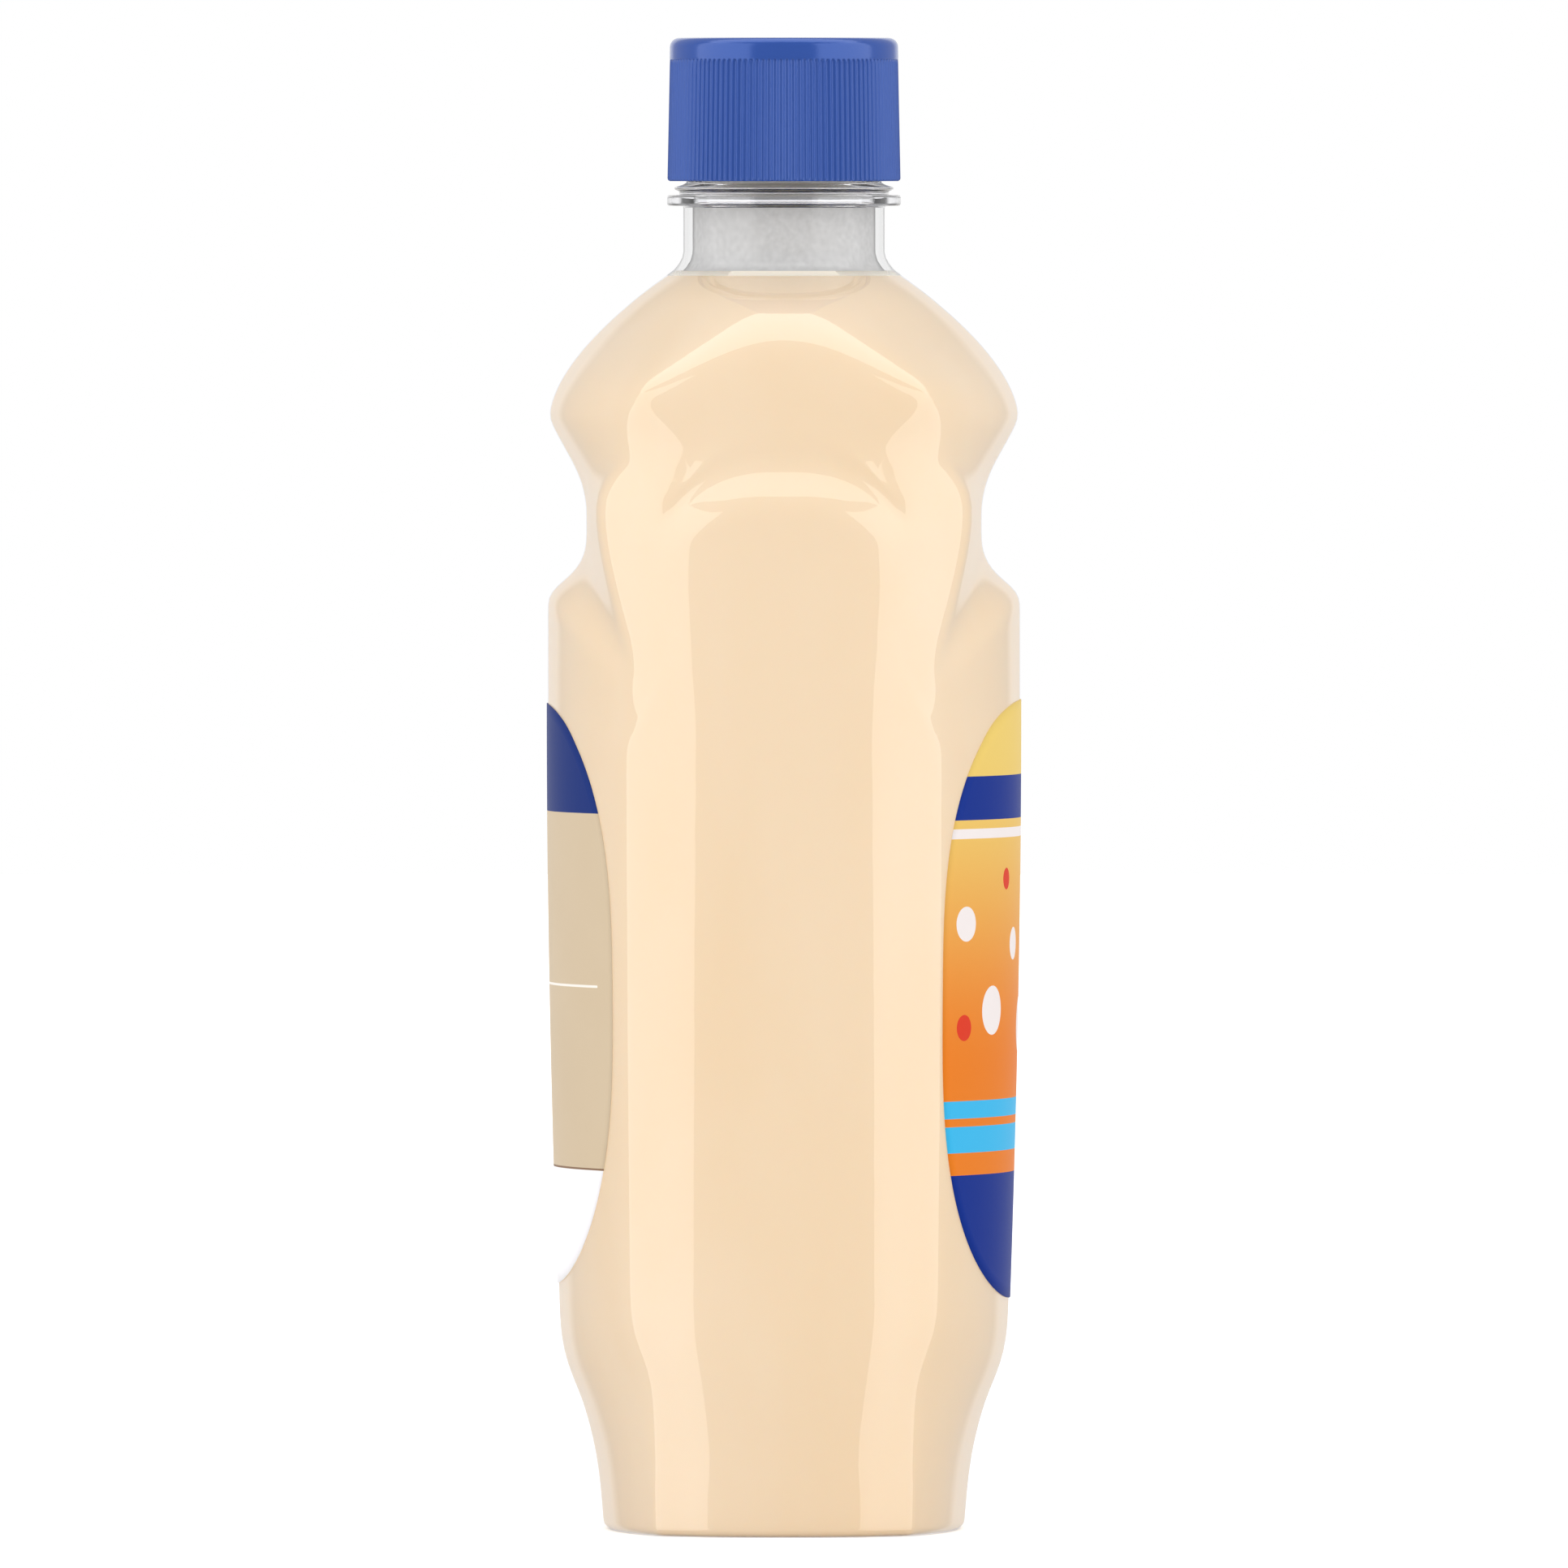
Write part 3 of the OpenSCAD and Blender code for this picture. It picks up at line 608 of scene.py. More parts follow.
def add(tree, kind, inputs=None, **settings):
    """Adds a node with its settings, and sets or links its inputs. A pair (node, output) links."""
    node = tree.nodes.new(kind)
    for key, value in settings.items():
        setattr(node, key, value)
    for key, value in (inputs or {}).items():
        socket = node.inputs[key]
        if isinstance(value, bpy.types.Node):
            tree.links.new(value.outputs[0], socket)
        elif isinstance(value, tuple) and isinstance(value[0], bpy.types.Node):
            tree.links.new(value[0].outputs[value[1]], socket)
        else:
            socket.default_value = value
    return node


def clear_body_skin(colours):
    """PET, stretch-blown and clear. Its gloss lies over the soap, with the faint ripple of blown walls."""
    material, tree = new_material("clear_pet_body")
    place = add(tree, "ShaderNodeTexCoord")
    # Blown walls ripple about every 9 mm, by a few hundredths of a millimetre.
    ripple = add(
        tree, "ShaderNodeTexNoise", {"Vector": (place, "Object"), "Scale": 110.0, "Detail": 1.0}
    )
    bump = add(tree, "ShaderNodeBump", {"Height": ripple, "Strength": 0.35, "Distance": 0.00008})
    fresnel = add(tree, "ShaderNodeFresnel", {"IOR": 1.575, "Normal": bump})
    side = add(tree, "ShaderNodeNewGeometry")
    # Light that comes back from the soap leaves the skin freely.
    inside = add(tree, "ShaderNodeMath", {0: 1.0, 1: (side, "Backfacing")}, operation="SUBTRACT")
    mirror = add(tree, "ShaderNodeMath", {0: fresnel, 1: inside}, operation="MULTIPLY")
    # Wet by the soap behind, the wall mirrors little even at its edges.
    mirror = add(tree, "ShaderNodeMath", {0: mirror, 1: 0.36}, operation="MINIMUM")
    gloss = add(tree, "ShaderNodeBsdfGlossy", {"Roughness": 0.035, "Normal": bump})
    see = add(tree, "ShaderNodeBsdfTransparent", {"Color": colours.clear[:]})
    both = add(tree, "ShaderNodeMixShader", {0: mirror, 1: see, 2: gloss})
    add(tree, "ShaderNodeOutputMaterial", {"Surface": both})
    return material


def clear_neck(colours, ring_z):
    """PET, injection moulded and thick at the neck: it bends light, and its bore is faintly clouded."""
    material, tree = new_material("clear_pet_neck")
    place = add(tree, "ShaderNodeTexCoord")
    # The moulded bore has a grain of about 1 mm.
    grain = add(tree, "ShaderNodeTexNoise", {"Vector": (place, "Object"), "Scale": 900.0, "Detail": 2.0})
    bump = add(tree, "ShaderNodeBump", {"Height": grain, "Strength": 0.12, "Distance": 0.00005})
    glass = add(
        tree,
        "ShaderNodeBsdfPrincipled",
        {
            "Base Color": colours.clear[:],
            "Roughness": 0.03,
            "IOR": 1.575,
            "Transmission Weight": 1.0,
            "Normal": bump,
        },
    )
    # The plain neck under the ring is seen through, without the bend of its thin wall; painted shade darkens
    # it towards its silhouettes.
    side = add(tree, "ShaderNodeNewGeometry")
    fresnel = add(tree, "ShaderNodeFresnel", {"IOR": 1.575})
    inside = add(tree, "ShaderNodeMath", {0: 1.0, 1: (side, "Backfacing")}, operation="SUBTRACT")
    mirror = add(tree, "ShaderNodeMath", {0: fresnel, 1: inside}, operation="MULTIPLY")
    gloss = add(tree, "ShaderNodeBsdfGlossy", {"Roughness": 0.3})
    rim = add(tree, "ShaderNodeLayerWeight", {"Blend": 0.5})
    # Painted shade: what is seen through darkens from 0.97 to 0.3 towards the silhouettes.
    depth = add(
        tree,
        "ShaderNodeMapRange",
        {"Value": (rim, "Facing"), "From Min": 0.82, "To Min": 0.97, "To Max": 0.3},
    )
    see = add(tree, "ShaderNodeBsdfTransparent", {"Color": (depth, 0)})
    thin = add(tree, "ShaderNodeMixShader", {0: mirror, 1: see, 2: gloss})
    parts = add(tree, "ShaderNodeSeparateXYZ", {0: (place, "Object")})
    high = add(tree, "ShaderNodeMath", {0: (parts, "Z"), 1: ring_z * MM}, operation="GREATER_THAN")
    both = add(tree, "ShaderNodeMixShader", {0: high, 1: thin, 2: glass})
    add(tree, "ShaderNodeOutputMaterial", {"Surface": both})
    return material


def clouded_bore(colours):
    """The plain bore over the soap, clouded by a thin film and fine drops that the soap leaves on PET, with
    painted shade where the wall is seen edge on.
    """
    material, tree = new_material("clouded_bore")
    place = add(tree, "ShaderNodeTexCoord")
    mottle = add(tree, "ShaderNodeTexNoise", {"Vector": (place, "Object"), "Scale": 900.0, "Detail": 6.0})
    grey = add(
        tree,
        "ShaderNodeMapRange",
        {"Value": mottle, "From Min": 0.3, "From Max": 0.7, "To Min": 0.64, "To Max": 0.74},
    )
    # Painted shade: the film's grey is darkened where the wall is seen edge on.
    edge = add(tree, "ShaderNodeLayerWeight", {"Blend": 0.5})
    edge_shade = add(
        tree,
        "ShaderNodeMapRange",
        {"Value": (edge, "Facing"), "From Min": 0.75, "To Min": 1.0, "To Max": 0.35},
    )
    grey_with_edge_shade = add(tree, "ShaderNodeMath", {0: (grey, 0), 1: (edge_shade, 0)}, operation="MULTIPLY")
    haze_with_edge_shade = add(tree, "ShaderNodeBsdfDiffuse", {"Color": grey_with_edge_shade})
    see = add(tree, "ShaderNodeBsdfTransparent", {"Color": colours.clear[:]})
    both = add(tree, "ShaderNodeMixShader", {0: 0.85, 1: see, 2: haze_with_edge_shade})
    add(tree, "ShaderNodeOutputMaterial", {"Surface": both})
    return material


def liquid_soap(colours, level):
    """Pearly liquid soap: opaque and creamy, with slow paler veils, and dull because it wets the wall."""
    material, tree = new_material("liquid_soap")
    place = add(tree, "ShaderNodeTexCoord")
    stretch = add(tree, "ShaderNodeMapping", {"Vector": (place, "Object"), "Scale": (1.0, 1.0, 0.35)})
    # Veils of pearl are 30 to 60 mm across.
    veil = add(
        tree,
        "ShaderNodeTexNoise",
        {"Vector": stretch, "Scale": 26.0, "Detail": 3.0, "Distortion": 0.8},
    )
    ramp = add(tree, "ShaderNodeMapRange", {"Value": veil, "From Min": 0.35, "From Max": 0.7})
    colour = add(tree, "ShaderNodeMix", {0: (ramp, 0)}, data_type="RGBA")
    colour.inputs[6].default_value = colours.soap[:]
    colour.inputs[7].default_value = colours.pearl[:]
    # Painted highlight: a paler band is painted at the level, where the soap climbs the wall.
    parts = add(tree, "ShaderNodeSeparateXYZ", {0: (place, "Object")})
    meniscus_highlight = add(tree, "ShaderNodeMath", {0: (parts, "Z"), 1: (level - 0.9) * MM}, operation="GREATER_THAN")
    colour = add(tree, "ShaderNodeMix", {0: meniscus_highlight, 6: (colour, 2)}, data_type="RGBA")
    colour.inputs[7].default_value = linear("FFF4E2")
    shader = add(
        tree,
        "ShaderNodeBsdfPrincipled",
        {
            "Base Color": (colour, 2),
            "Roughness": 0.4,
            "Specular IOR Level": 0.2,
            "Subsurface Weight": 0.15,
            "Subsurface Radius": (1.0, 0.6, 0.35),
            "Subsurface Scale": 0.002,
        },
    )
    add(tree, "ShaderNodeOutputMaterial", {"Surface": shader})
    return material


def cap_plastic(colours):
    """Polypropylene, injection moulded in blue, with a satin skin from a lightly polished mould."""
    material, tree = new_material("cap_polypropylene")
    place = add(tree, "ShaderNodeTexCoord")
    # The mould's polish leaves a texture of about 0.4 mm.
    grain = add(tree, "ShaderNodeTexNoise", {"Vector": (place, "Object"), "Scale": 2400.0, "Detail": 2.0})
    bump = add(tree, "ShaderNodeBump", {"Height": grain, "Strength": 0.1, "Distance": 0.00003})
    flow = add(tree, "ShaderNodeTexNoise", {"Vector": (place, "Object"), "Scale": 90.0, "Detail": 2.0})
    rough = add(tree, "ShaderNodeMapRange", {"Value": flow, "To Min": 0.14, "To Max": 0.2})
    shader = add(
        tree,
        "ShaderNodeBsdfPrincipled",
        {
            "Base Color": colours.cap[:],
            "Roughness": (rough, 0),
            "IOR": 1.49,
            "Specular IOR Level": 0.9,
            "Specular Tint": colours.cap_gloss[:],
            "Normal": bump,
        },
    )
    add(tree, "ShaderNodeOutputMaterial", {"Surface": shader})
    return material


def liner_foam(colours):
    """Polyethylene foam, die-cut, with fine closed cells."""
    material, tree = new_material("liner_foam")
    place = add(tree, "ShaderNodeTexCoord")
    # Cells are about 0.3 mm, drawn at 0.6 mm so that they show.
    cells = add(tree, "ShaderNodeTexVoronoi", {"Vector": (place, "Object"), "Scale": 1600.0})
    bump = add(tree, "ShaderNodeBump", {"Height": cells, "Strength": 0.4, "Distance": 0.0001})
    shader = add(
        tree,
        "ShaderNodeBsdfPrincipled",
        {"Base Color": colours.disc[:], "Roughness": 0.75, "IOR": 1.5, "Normal": bump},
    )
    add(tree, "ShaderNodeOutputMaterial", {"Surface": shader})
    return material


def film_shader(tree, place, colour):
    """Gloss polypropylene film over its print, with a soft orange peel of about 2 mm."""
    peel = add(tree, "ShaderNodeTexNoise", {"Vector": (place, "Object"), "Scale": 500.0, "Detail": 1.0})
    bump = add(tree, "ShaderNodeBump", {"Height": peel, "Strength": 0.15, "Distance": 0.00003})
    shader = add(
        tree,
        "ShaderNodeBsdfPrincipled",
        {"Base Color": colour, "Roughness": 0.45, "Specular IOR Level": 0.05, "Normal": bump},
    )
    add(tree, "ShaderNodeOutputMaterial", {"Surface": shader})


def lay_stops(ramp, stops):
    """Sets a ramp's stops, each of a place and a grey."""
    while len(ramp.elements) < len(stops):
        ramp.elements.new(0.5)
    for stop, (spot, value) in zip(ramp.elements, stops):
        stop.position = spot
        stop.color = (value, value, value, 1)


def layered(tree, base, layers):
    """Lays colours over a base, each where its mask is 1."""
    for mask, colour in layers:
        node = add(tree, "ShaderNodeMix", {0: mask}, data_type="RGBA")
        tree.links.new(base[0].outputs[base[1]], node.inputs[6])
        node.inputs[7].default_value = colour
        base = (node, 2)
    return base


def rounded_mask(tree, place, middle, half, radius):
    """1 inside a rounded rectangle of the label, seen from the front; lengths in millimetres."""
    centre = (middle[0] * MM, 0, middle[1] * MM)
    inner = ((half[0] - radius) * MM, 1, (half[1] - radius) * MM)
    moved = add(tree, "ShaderNodeVectorMath", {0: (place, "Object"), 1: centre}, operation="SUBTRACT")
    folded = add(tree, "ShaderNodeVectorMath", {0: moved}, operation="ABSOLUTE")
    outside = add(tree, "ShaderNodeVectorMath", {0: folded, 1: inner}, operation="SUBTRACT")
    clamped = add(tree, "ShaderNodeVectorMath", {0: outside, 1: (0, 0, 0)}, operation="MAXIMUM")
    far = add(tree, "ShaderNodeVectorMath", {0: clamped}, operation="LENGTH")
    return add(tree, "ShaderNodeMath", {0: (far, "Value"), 1: radius * MM}, operation="LESS_THAN")


def round_mask(tree, place, across, height, radius):
    """1 inside a round of the label, seen from the front; lengths in millimetres."""
    centre = (across * MM, 0, height * MM)
    moved = add(tree, "ShaderNodeVectorMath", {0: (place, "Object"), 1: centre}, operation="SUBTRACT")
    flat = add(tree, "ShaderNodeVectorMath", {0: moved, 1: (1, 0, 1)}, operation="MULTIPLY")
    far = add(tree, "ShaderNodeVectorMath", {0: flat}, operation="LENGTH")
    return add(tree, "ShaderNodeMath", {0: (far, "Value"), 1: radius * MM}, operation="LESS_THAN")


def front_print(sizes):
    """Biaxially drawn polypropylene film, printed in flat fields and varnished: the front label."""
    material, tree = new_material("front_label_film")
    place = add(tree, "ShaderNodeTexCoord")
    parts = add(tree, "ShaderNodeSeparateXYZ", {0: (place, "Object")})
    # Two inks blend up the field, and plain stripes and bubbles lie over them.
    rise = add(
        tree,
        "ShaderNodeMapRange",
        {"Value": (parts, "Z"), "From Min": 84 * MM, "From Max": 146 * MM},
        interpolation_type="SMOOTHSTEP",
    )
    field = add(tree, "ShaderNodeMix", {0: (rise, 0)}, data_type="RGBA")
    field.inputs[6].default_value = sizes.orange[:]
    field.inputs[7].default_value = sizes.yellow[:]
    stripes = (
        (135.0, 4.0, sizes.navy[:]),
        (128.5, 0.9, sizes.cream[:]),
        (78.0, 1.6, sizes.cyan[:]),
        (72.5, 2.4, sizes.cyan[:]),
        (49.5, 16.5, sizes.navy[:]),
    )
    layers = [
        (rounded_mask(tree, place, (0, height), (WIDE, half), SQUARE), ink)
        for height, half, ink in stripes
    ]
    layers += [(round_mask(tree, place, *bubble), sizes.cream[:]) for bubble in PALE_BUBBLES]
    layers += [(round_mask(tree, place, *bubble), sizes.warm[:]) for bubble in WARM_BUBBLES]
    film_shader(tree, place, layered(tree, (field, 2), layers))
    return material


def back_print(sizes):
    """The same film behind, its clear middle drawn as a warm tint in the colour of the soap behind it."""
    material, tree = new_material("back_label_film")
    place = add(tree, "ShaderNodeTexCoord")
    haze = add(tree, "ShaderNodeTexNoise", {"Vector": (place, "Object"), "Scale": 40.0, "Detail": 2.0})
    tint = add(tree, "ShaderNodeMix", {0: haze}, data_type="RGBA")
    tint.inputs[6].default_value = sizes.back_tint[:]
    tint.inputs[7].default_value = linear("D3C0A4")
    layers = [
        (rounded_mask(tree, place, (0, 152.2), (WIDE, 20), SQUARE), sizes.back_navy[:]),
        (rounded_mask(tree, place, (0, 46.8), (WIDE, 20), SQUARE), sizes.back_white[:]),
        (rounded_mask(tree, place, (0, 100.5), (36, 0.22), 0.2), linear("F7F1E8")),
        (rounded_mask(tree, place, (0, 67.0), (WIDE, 0.18), SQUARE), linear("8C6F58")),
    ]
    film_shader(tree, place, layered(tree, (tint, 2), layers))
    return material


# Pieces


def current_shape(context):
    """The body's shape from the scene's sizes."""
    return BodyShape(context.scene.refill_body, context.scene.refill_neck)


def neck_heights(context):
    """Heights of the neck's parts, in millimetres."""
    neck = context.scene.refill_neck
    z_neck = current_shape(context).z_neck
    z_ring = z_neck + neck.height / MM
    z_bead = z_ring + neck.ring_height / MM
    z_finish = z_bead + neck.bead_height / MM
    return z_neck, z_ring, z_bead, z_finish, z_finish + neck.finish_height / MM


def neck_profile(context):
    """Radius and height of the neck: its plain wall, ring, bead, finish and mouth, then the bore."""
    neck = context.scene.refill_neck
    z_neck, z_ring, z_bead, z_finish, z_mouth = neck_heights(context)
    r, ring, bead, fin, bore = (v / MM for v in (neck.radius, neck.ring, neck.bead, neck.finish, neck.bore))
    return [
        (r, z_neck + 0.4),
        (r, z_ring - 0.5),
        (r + 0.12, z_ring - 0.15),
        (r + 0.45, z_ring),
        (ring - 0.4, z_ring),
        (ring - 0.1, z_ring + 0.1),
        (ring, z_ring + 0.45),
        (ring, z_bead - 0.45),
        (ring - 0.1, z_bead - 0.1),
        (ring - 0.4, z_bead),
        (bead - 0.7, z_bead),
        (bead - 0.9, z_bead + 0.15),
        (bead - 0.9, z_bead + 0.55),
        (bead - 0.7, z_bead + 0.75),
        (bead - 0.1, z_bead + 0.95),
        (bead, z_bead + 1.15),
        (bead - 0.05, z_bead + 1.45),
        (fin + 0.6, z_finish - 0.15),
        (fin, z_finish + 0.15),
        (fin, z_finish + 6),
        (fin, z_mouth - 0.6),
        (fin - 0.15, z_mouth - 0.15),
        (fin - 0.5, z_mouth),
        (bore + 0.25, z_mouth),
        (bore + 0.05, z_mouth - 0.08),
        (bore, z_mouth - 0.3),
        (bore, z_mouth - 12),
        (bore, z_ring),
        (bore, z_neck + 0.4),
    ]


class REFILL_OT_shell(bpy.types.Operator):
    """Makes the clear blown shell with its moulded neck"""

    bl_idname = "refill.shell"
    bl_label = "Clear shell"

    def execute(self, context):
        neck = context.scene.refill_neck
        _, z_ring, _, _, z_mouth = neck_heights(context)
        shape, bm = blown_skin(context)
        outer = bm.faces[:]
        outer_verts = set(bm.verts)
        made = bmesh.ops.duplicate(bm, geom=bm.verts[:] + bm.edges[:] + bm.faces[:])
        for old, new in made["vert_map"].items():
            if old in outer_verts:
                new.co = old.co - old.normal * shape.wall_at(old.co.z / MM) * MM
        inner = [f for f in made["geom"] if isinstance(f, bmesh.types.BMFace)]
        bmesh.ops.reverse_faces(bm, faces=inner)
        outer = set(outer)
        outer_rim = [e for e in bm.edges if e.is_boundary and e.link_faces[0] in outer]
        inner_rim = [e for e in bm.edges if e.is_boundary and e.link_faces[0] not in outer]
        last = raise_rings(bm, outer_rim, neck_profile(context))
        bmesh.ops.bridge_loops(bm, edges=last + inner_rim)
        bmesh.ops.recalc_face_normals(bm, faces=bm.faces)
        level = (shape.z_throat - 0.4) * MM
        for face in bm.faces:
            middle = face.calc_center_median()
            inner = face.normal.x * middle.x + face.normal.y * middle.y < 0
            face.material_index = 1 if middle.z > level else 0
            if inner and level < middle.z < z_ring * MM:
                face.material_index = 2
        ridge = bmesh.new()
        fin = neck.finish / MM
        crest, low = fin + neck.thread / MM, z_mouth - THREAD_START
        helix(ridge, fin - SINK, crest, *NECK_THREAD, low, neck.pitch / MM, neck.turns)
        for face in ridge.faces:
            face.material_index = 1
        part = bpy.data.meshes.new("ridge")
        ridge.to_mesh(part)
        ridge.free()
        bm.from_mesh(part)
        bpy.data.meshes.remove(part)
        colours = context.scene.refill_finishes
        materials = [clear_body_skin(colours), clear_neck(colours, z_ring - 0.3), clouded_bore(colours)]
        finish_piece("clear_shell", bm, "bottle", "clear_pet", materials, "bottle")
        return {"FINISHED"}


class REFILL_OT_soap(bpy.types.Operator):
    """Makes the fill of soap, which wets the wall and climbs it a little at its level"""

    bl_idname = "refill.soap"
    bl_label = "Soap"

    def execute(self, context):
        shape, bm = blown_skin(context)
        # A wall bends light so that its fill seems to reach the outer skin, so the soap is drawn
        # almost that far out.
        moves = {v: v.normal * SOAP_COVER * shape.wall_at(v.co.z / MM) * MM for v in bm.verts}
        for v, step in moves.items():
            v.co -= step
        level = (shape.z_throat + 0.1) * MM
        cut = bmesh.ops.bisect_plane(
            bm,
            geom=bm.verts[:] + bm.edges[:] + bm.faces[:],
            plane_co=(0, 0, level),
            plane_no=(0, 0, 1),
            clear_outer=True,
        )
        rim = [g for g in cut["geom_cut"] if isinstance(g, bmesh.types.BMEdge)]
        reach = max(v.co.xy.length for e in rim for v in e.verts) / MM
        z = level / MM
        profile = [(reach - 0.25, z - 0.35), (reach - 0.7, z - 0.6), (reach - 1.6, z - 0.75)]
        profile += [(reach - 6, z - 0.8), (8, z - 0.8)]
        last = raise_rings(bm, rim, profile)
        bmesh.ops.edgeloop_fill(bm, edges=last)
        bmesh.ops.recalc_face_normals(bm, faces=bm.faces)
        material = liquid_soap(context.scene.refill_finishes, z)
        finish_piece("soap_fill", bm, "bottle", "liquid_soap", [material], "soap")
        return {"FINISHED"}


class REFILL_OT_labels(bpy.types.Operator):
    """Makes the two film labels, which follow the label panels"""

    bl_idname = "refill.labels"
    bl_label = "Labels"

    def execute(self, context):
        shape = current_shape(context)
        sizes = context.scene.refill_labels
        front = (sizes.front_width, sizes.front_height, sizes.front_middle)
        back = (sizes.back_width, sizes.back_height, sizes.back_middle)
        self.film(shape, sizes, front, FRONT_POWER, -1, "front_film", front_print(sizes), "front_label")
        self.film(shape, sizes, back, BACK_POWER, 1, "back_film", back_print(sizes), "back_label")
        return {"FINISHED"}

    def film(self, shape, sizes, size, power, way, slot, material, node):
        """One label: a disc bent on to the panel, then given its thickness."""
        half, high, middle = (v / MM for v in size)
        bm = bmesh.new()
        bmesh.ops.create_circle(bm, cap_ends=False, radius=1.0, segments=FILM_SEGMENTS)
        rim = bm.edges[:]
        for share in [1 - k / FILM_RINGS for k in range(1, FILM_RINGS)]:
            made = bmesh.ops.extrude_edge_only(bm, edges=rim)["geom"]
            for v in (g for g in made if isinstance(g, bmesh.types.BMVert)):
                v.co = v.co.normalized() * share
            rim = [g for g in made if isinstance(g, bmesh.types.BMEdge)]
        bmesh.ops.edgeloop_fill(bm, edges=rim)
        for v in bm.verts:
            reach = v.co.xy.length
            a = math.atan2(v.co.y, v.co.x)
            bow = [math.copysign(abs(c) ** (2 / power), c) for c in (math.cos(a), math.sin(a))]
            x, z = half * reach * bow[0], middle + high * reach * bow[1]
            y = self.panel_depth(shape, abs(x), z)
            v.co = (x * MM, way * (y + sizes.glue / MM) * MM, z * MM)
        bmesh.ops.recalc_face_normals(bm, faces=bm.faces)
        if bm.faces[0].normal.y * way < 0:
            bmesh.ops.reverse_faces(bm, faces=bm.faces)
        bm.normal_update()
        bmesh.ops.solidify(bm, geom=bm.faces[:], thickness=-sizes.film)
        bmesh.ops.recalc_face_normals(bm, faces=bm.faces)
        obj = finish_piece(node + "_film", bm, "bottle", slot, [material], node)
        # The soap behind the film's edge keeps the even light.
        obj.visible_diffuse = False

    @staticmethod
    def panel_depth(shape, x, z):
        """Half depth of the panel at x and z, where its rows arch down towards the corners."""
        v = z
        for _ in range(12):
            drop = shape.arch_at(v)
            edge = shape.edge_x(v - drop)
            v = z + drop * (x / edge) ** 2
        return shape.front_y(x, z, v)


class REFILL_OT_cap(bpy.types.Operator):
    """Makes the ribbed screw cap with its inner thread and gives the sealing disc its foam"""

    bl_idname = "refill.cap"
    bl_label = "Cap"

    def execute(self, context):
        cap, neck = context.scene.refill_cap, context.scene.refill_neck
        z_mouth = neck_heights(context)[4]
        z_skirt = neck_heights(context)[3] + cap.gap / MM
        z_seat = z_mouth + cap.liner / MM
        z_top = z_seat + cap.top / MM
        skirt, crown, edge, bore = (v / MM for v in (cap.skirt, cap.crown, cap.edge, cap.bore))
        z_band = z_top - cap.band / MM

        def cone(z):
            return mix(skirt, crown, (z - z_skirt) / (z_top - edge - z_skirt))

        # The mark of the mould's gate lies in the middle of the top.
        profile = [(0, z_top - 0.12), (0.7, z_top - 0.12), (0.9, z_top), (2.0, z_top)]
        profile += [(crown * k, z_top) for k in (0.3, 0.6, 0.85)]
        for a in range(90, -1, -10):
            lean = math.radians(a)
            profile.append((crown + 0.05 - edge * (1 - math.cos(lean)), z_top - edge * (1 - math.sin(lean))))
        profile += [(cone(z_band + 0.7) + 0.05, z_band + 0.7), (cone(z_band + 0.12) + 0.05, z_band + 0.12)]
        ribbed = [z_band - 0.12 * k for k in range(0, 10)] + even_rows(z_band - 1.3, z_skirt + 0.5, 4)
        profile += [(cone(z), z) for z in ribbed]
        profile += [(skirt - 0.12, z_skirt + 0.2), (skirt - 0.45, z_skirt), (bore + 0.4, z_skirt)]
        profile += [(bore, z_skirt + 0.4)] + [(bore, z) for z in even_rows(z_skirt + 1, z_seat - 0.3, 4)]
        profile += [(bore - 0.3, z_seat), (bore / 2, z_seat), (0, z_seat)]
        bm = bmesh.new()
        steps = 6 * cap.ribs
        spin_profile(bm, profile, steps)
        depth = cap.groove / MM
        for v in bm.verts:
            r, z = v.co.xy.length / MM, v.co.z / MM
            if r < bore + 0.9 or not z_skirt + 0.15 < z < z_band + 0.05:
                continue
            phase = (math.atan2(v.co.y, v.co.x) * cap.ribs / (2 * math.pi)) % 1.0
            aside = abs(phase - 0.5) * 2
            climb = min(1.0, (z_band - z) / GROOVE_RUN)
            reach = GROOVE_SHARE * math.sqrt(max(0.0, 1 - (1 - climb) ** 2))
            sunk = depth * (1 - ease(reach - 0.45, reach + 0.1, aside)) if reach > 0.02 else 0.0
            v.co.xy *= (r - sunk) / r
        colours = context.scene.refill_finishes
        crest, low = neck.finish / MM + CAP_THREAD_GAP, z_mouth - THREAD_START - CAP_THREAD_DROP
        helix(bm, bore + SINK, crest, *CAP_THREAD, low, neck.pitch / MM, neck.turns)
        finish_piece("screw_cap", bm, "cap", "cap_plastic", [cap_plastic(colours)], "cap")
        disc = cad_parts["cap_liner"]
        disc.data.materials.clear()
        disc.data.materials.append(liner_foam(colours))
        return {"FINISHED"}


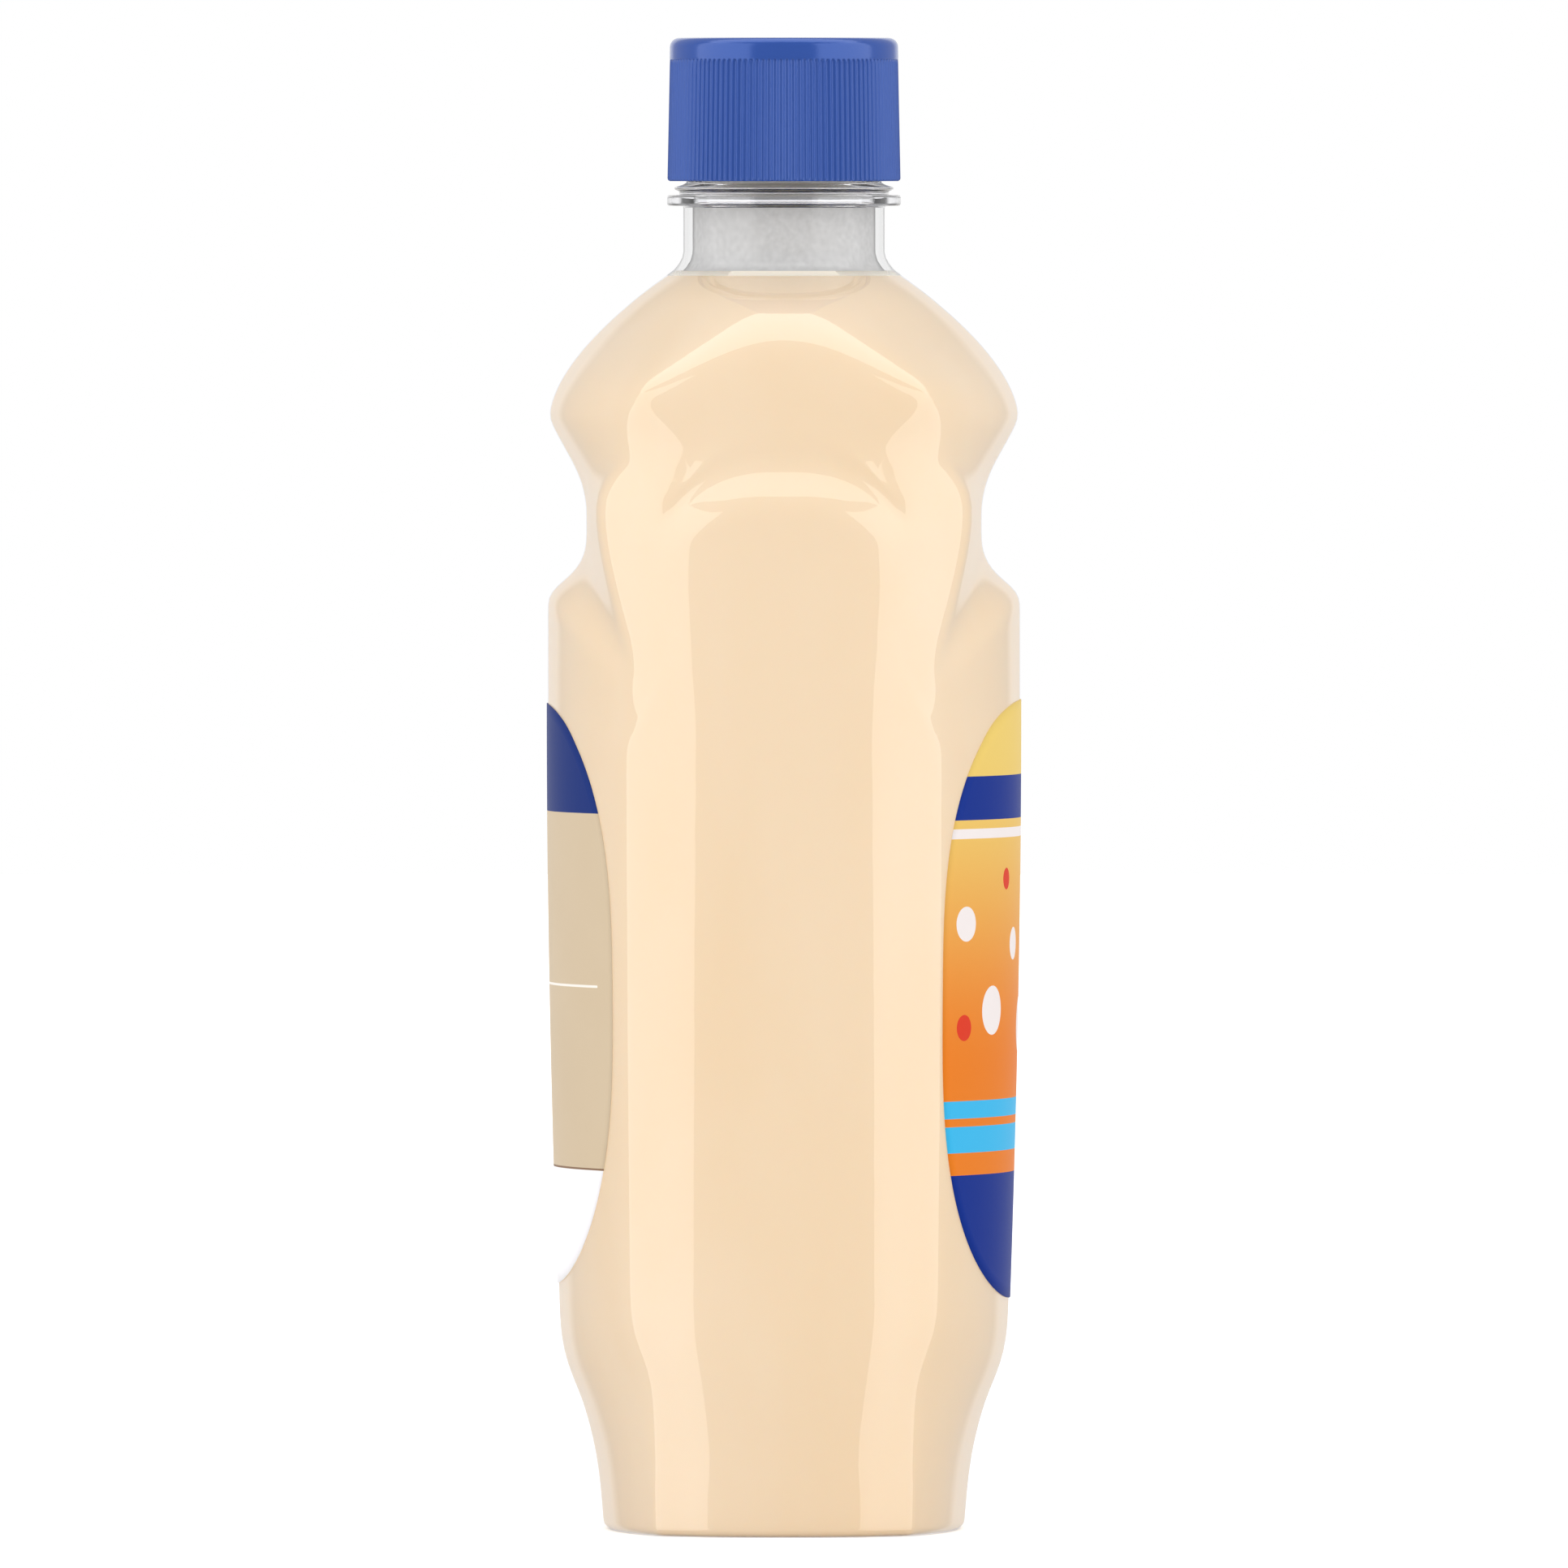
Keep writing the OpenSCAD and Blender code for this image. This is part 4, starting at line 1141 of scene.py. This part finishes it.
class REFILL_OT_stage(bpy.types.Operator):
    """Makes the floor, the studio's light and the camera"""

    bl_idname = "refill.stage"
    bl_label = "Stage"

    def execute(self, context):
        colours = context.scene.refill_finishes
        context.scene.view_settings.view_transform = "Standard"
        self.floor(colours)
        self.studio(context, colours)
        for spot, size, aim, level, name in (
            ((-0.61, 1.37, 0.35), (1.9, 2.6), (0, 0, 0.35), colours.card, "left_card"),
            ((-0.61, -1.37, 0.35), (1.9, 2.6), (0, 0, 0.35), colours.card, "right_card"),
            ((-0.03, 0, 1.6), (1.35, 3.4), (-0.03, 0, 0.2), colours.top_card, "top_card"),
        ):
            self.card(spot, size, aim, level, name)
        self.camera(context)
        return {"FINISHED"}

    def floor(self, colours):
        """Pale painted board that shows the camera white and keeps the bottle's shadow."""
        bm = bmesh.new()
        bmesh.ops.create_circle(bm, cap_ends=True, radius=6.0, segments=96)
        mesh = bpy.data.meshes.new("floor")
        bm.to_mesh(mesh)
        bm.free()
        obj = bpy.data.objects.new("floor", mesh)
        bpy.context.scene.collection.objects.link(obj)
        material, tree = new_material("floor_board")
        rays = add(tree, "ShaderNodeLightPath")
        lift = add(tree, "ShaderNodeMath", {0: (rays, "Is Camera Ray"), 1: 0.3}, operation="MULTIPLY")
        board = add(tree, "ShaderNodeBsdfDiffuse", {"Color": colours.floor[:]})
        glow = add(tree, "ShaderNodeEmission", {"Color": (1, 1, 1, 1), "Strength": lift})
        both = add(tree, "ShaderNodeAddShader", {0: board, 1: glow})
        add(tree, "ShaderNodeOutputMaterial", {"Surface": both})
        mesh.materials.append(material)
        obj.visible_glossy = False

    def studio(self, context, colours):
        """Even light, a white cove behind the bottle and dim walls beside it for reflections."""
        world = bpy.data.worlds.new("studio")
        context.scene.world = world
        world.use_nodes = True
        tree = world.node_tree
        tree.nodes.clear()
        place = add(tree, "ShaderNodeTexCoord")
        parts = add(tree, "ShaderNodeSeparateXYZ", {0: (place, "Generated")})
        level = add(tree, "ShaderNodeMapRange", {"Value": (parts, "X"), "From Min": -1.0})
        walls = add(tree, "ShaderNodeValToRGB", {"Fac": (level, 0)})
        lay_stops(walls.color_ramp, STUDIO_WALLS)
        rays = add(tree, "ShaderNodeLightPath")
        kinds = {0: (rays, "Is Glossy Ray"), 1: (rays, "Is Transmission Ray")}
        mirror = add(tree, "ShaderNodeMath", kinds, operation="MAXIMUM")
        # What the neck's glass shows is white straight behind the bottle and dark beside it.
        behind = {"Value": (parts, "X"), "From Min": 0.8, "From Max": 0.9, "To Min": 0.08}
        cove = add(tree, "ShaderNodeMapRange", behind)
        even = add(tree, "ShaderNodeBackground", {"Color": (1, 1, 1, 1), "Strength": colours.fill})
        seen = add(tree, "ShaderNodeBackground", {"Color": (1, 1, 1, 1), "Strength": 1.0})
        bent = add(tree, "ShaderNodeBackground", {"Color": walls, "Strength": 1.0})
        through = add(tree, "ShaderNodeBackground", {"Color": (cove, 0), "Strength": 1.0})
        bent = add(tree, "ShaderNodeMixShader", {0: (rays, "Is Transmission Ray"), 1: bent, 2: through})
        first = add(tree, "ShaderNodeMixShader", {0: mirror, 1: even, 2: bent})
        last = add(tree, "ShaderNodeMixShader", {0: (rays, "Is Camera Ray"), 1: first, 2: seen})
        add(tree, "ShaderNodeOutputWorld", {"Surface": last})

    def card(self, spot, size, aim, level, name):
        """A softbox, given its brightness as a share of white."""
        light = bpy.data.lights.new(name, "AREA")
        light.shape = "ELLIPSE" if name == "top_card" else "RECTANGLE"
        light.size, light.size_y = size
        share = math.pi / 4 if name == "top_card" else 1
        light.energy = level * math.pi * size[0] * size[1] * share
        obj = bpy.data.objects.new(name, light)
        obj.location = spot
        obj.rotation_euler = (Vector(spot) - Vector(aim)).to_track_quat("Z", "Y").to_euler()
        obj.visible_diffuse = False
        bpy.context.scene.collection.objects.link(obj)

    def camera(self, context):
        """Long lens, level with the middle of the bottle's narrow side, in the photograph's framing."""
        lens = bpy.data.cameras.new("camera")
        lens.lens = 800
        lens.sensor_width = 36
        lens.clip_end = 100
        away = IMAGE_SIDE * PIXEL * MM * lens.lens / lens.sensor_width
        tilt = math.radians(1.0)
        obj = bpy.data.objects.new("camera", lens)
        obj.location = (-away * math.cos(tilt), 0, 0.137 + away * math.sin(tilt))
        obj.rotation_euler = (math.pi / 2 - tilt, 0, -math.pi / 2)
        context.scene.collection.objects.link(obj)
        context.scene.camera = obj


class REFILL_PT_panel(bpy.types.Panel):
    """Sizes, finishes and steps of the refill bottle"""

    bl_idname = "REFILL_PT_panel"
    bl_label = "Refill bottle"
    bl_space_type = "VIEW_3D"
    bl_region_type = "UI"
    bl_category = "Refill bottle"

    def draw(self, context):
        for group, _ in GROUPS:
            box = self.layout.box()
            values = getattr(context.scene, group)
            for name in values.__annotations__:
                box.prop(values, name)
        for step in STEPS:
            self.layout.operator(step.bl_idname)


GROUPS = (
    ("refill_body", BodySizes),
    ("refill_neck", NeckSizes),
    ("refill_cap", CapSizes),
    ("refill_labels", LabelSizes),
    ("refill_finishes", Finishes),
)
STEPS = (REFILL_OT_shell, REFILL_OT_soap, REFILL_OT_labels, REFILL_OT_cap, REFILL_OT_stage)


def register():
    """Registers the property groups, operators and panel."""
    for name, group in GROUPS:
        bpy.utils.register_class(group)
        setattr(bpy.types.Scene, name, PointerProperty(type=group))
    for cls in (*STEPS, REFILL_PT_panel):
        bpy.utils.register_class(cls)


def unregister():
    """Takes them away again."""
    for cls in reversed((*STEPS, REFILL_PT_panel)):
        bpy.utils.unregister_class(cls)
    for name, group in reversed(GROUPS):
        delattr(bpy.types.Scene, name)
        bpy.utils.unregister_class(group)


def main():
    """Makes every piece and the stage."""
    register()
    bpy.ops.refill.shell()
    bpy.ops.refill.soap()
    bpy.ops.refill.labels()
    bpy.ops.refill.cap()
    bpy.ops.refill.stage()


if __name__ == "__main__":
    main()
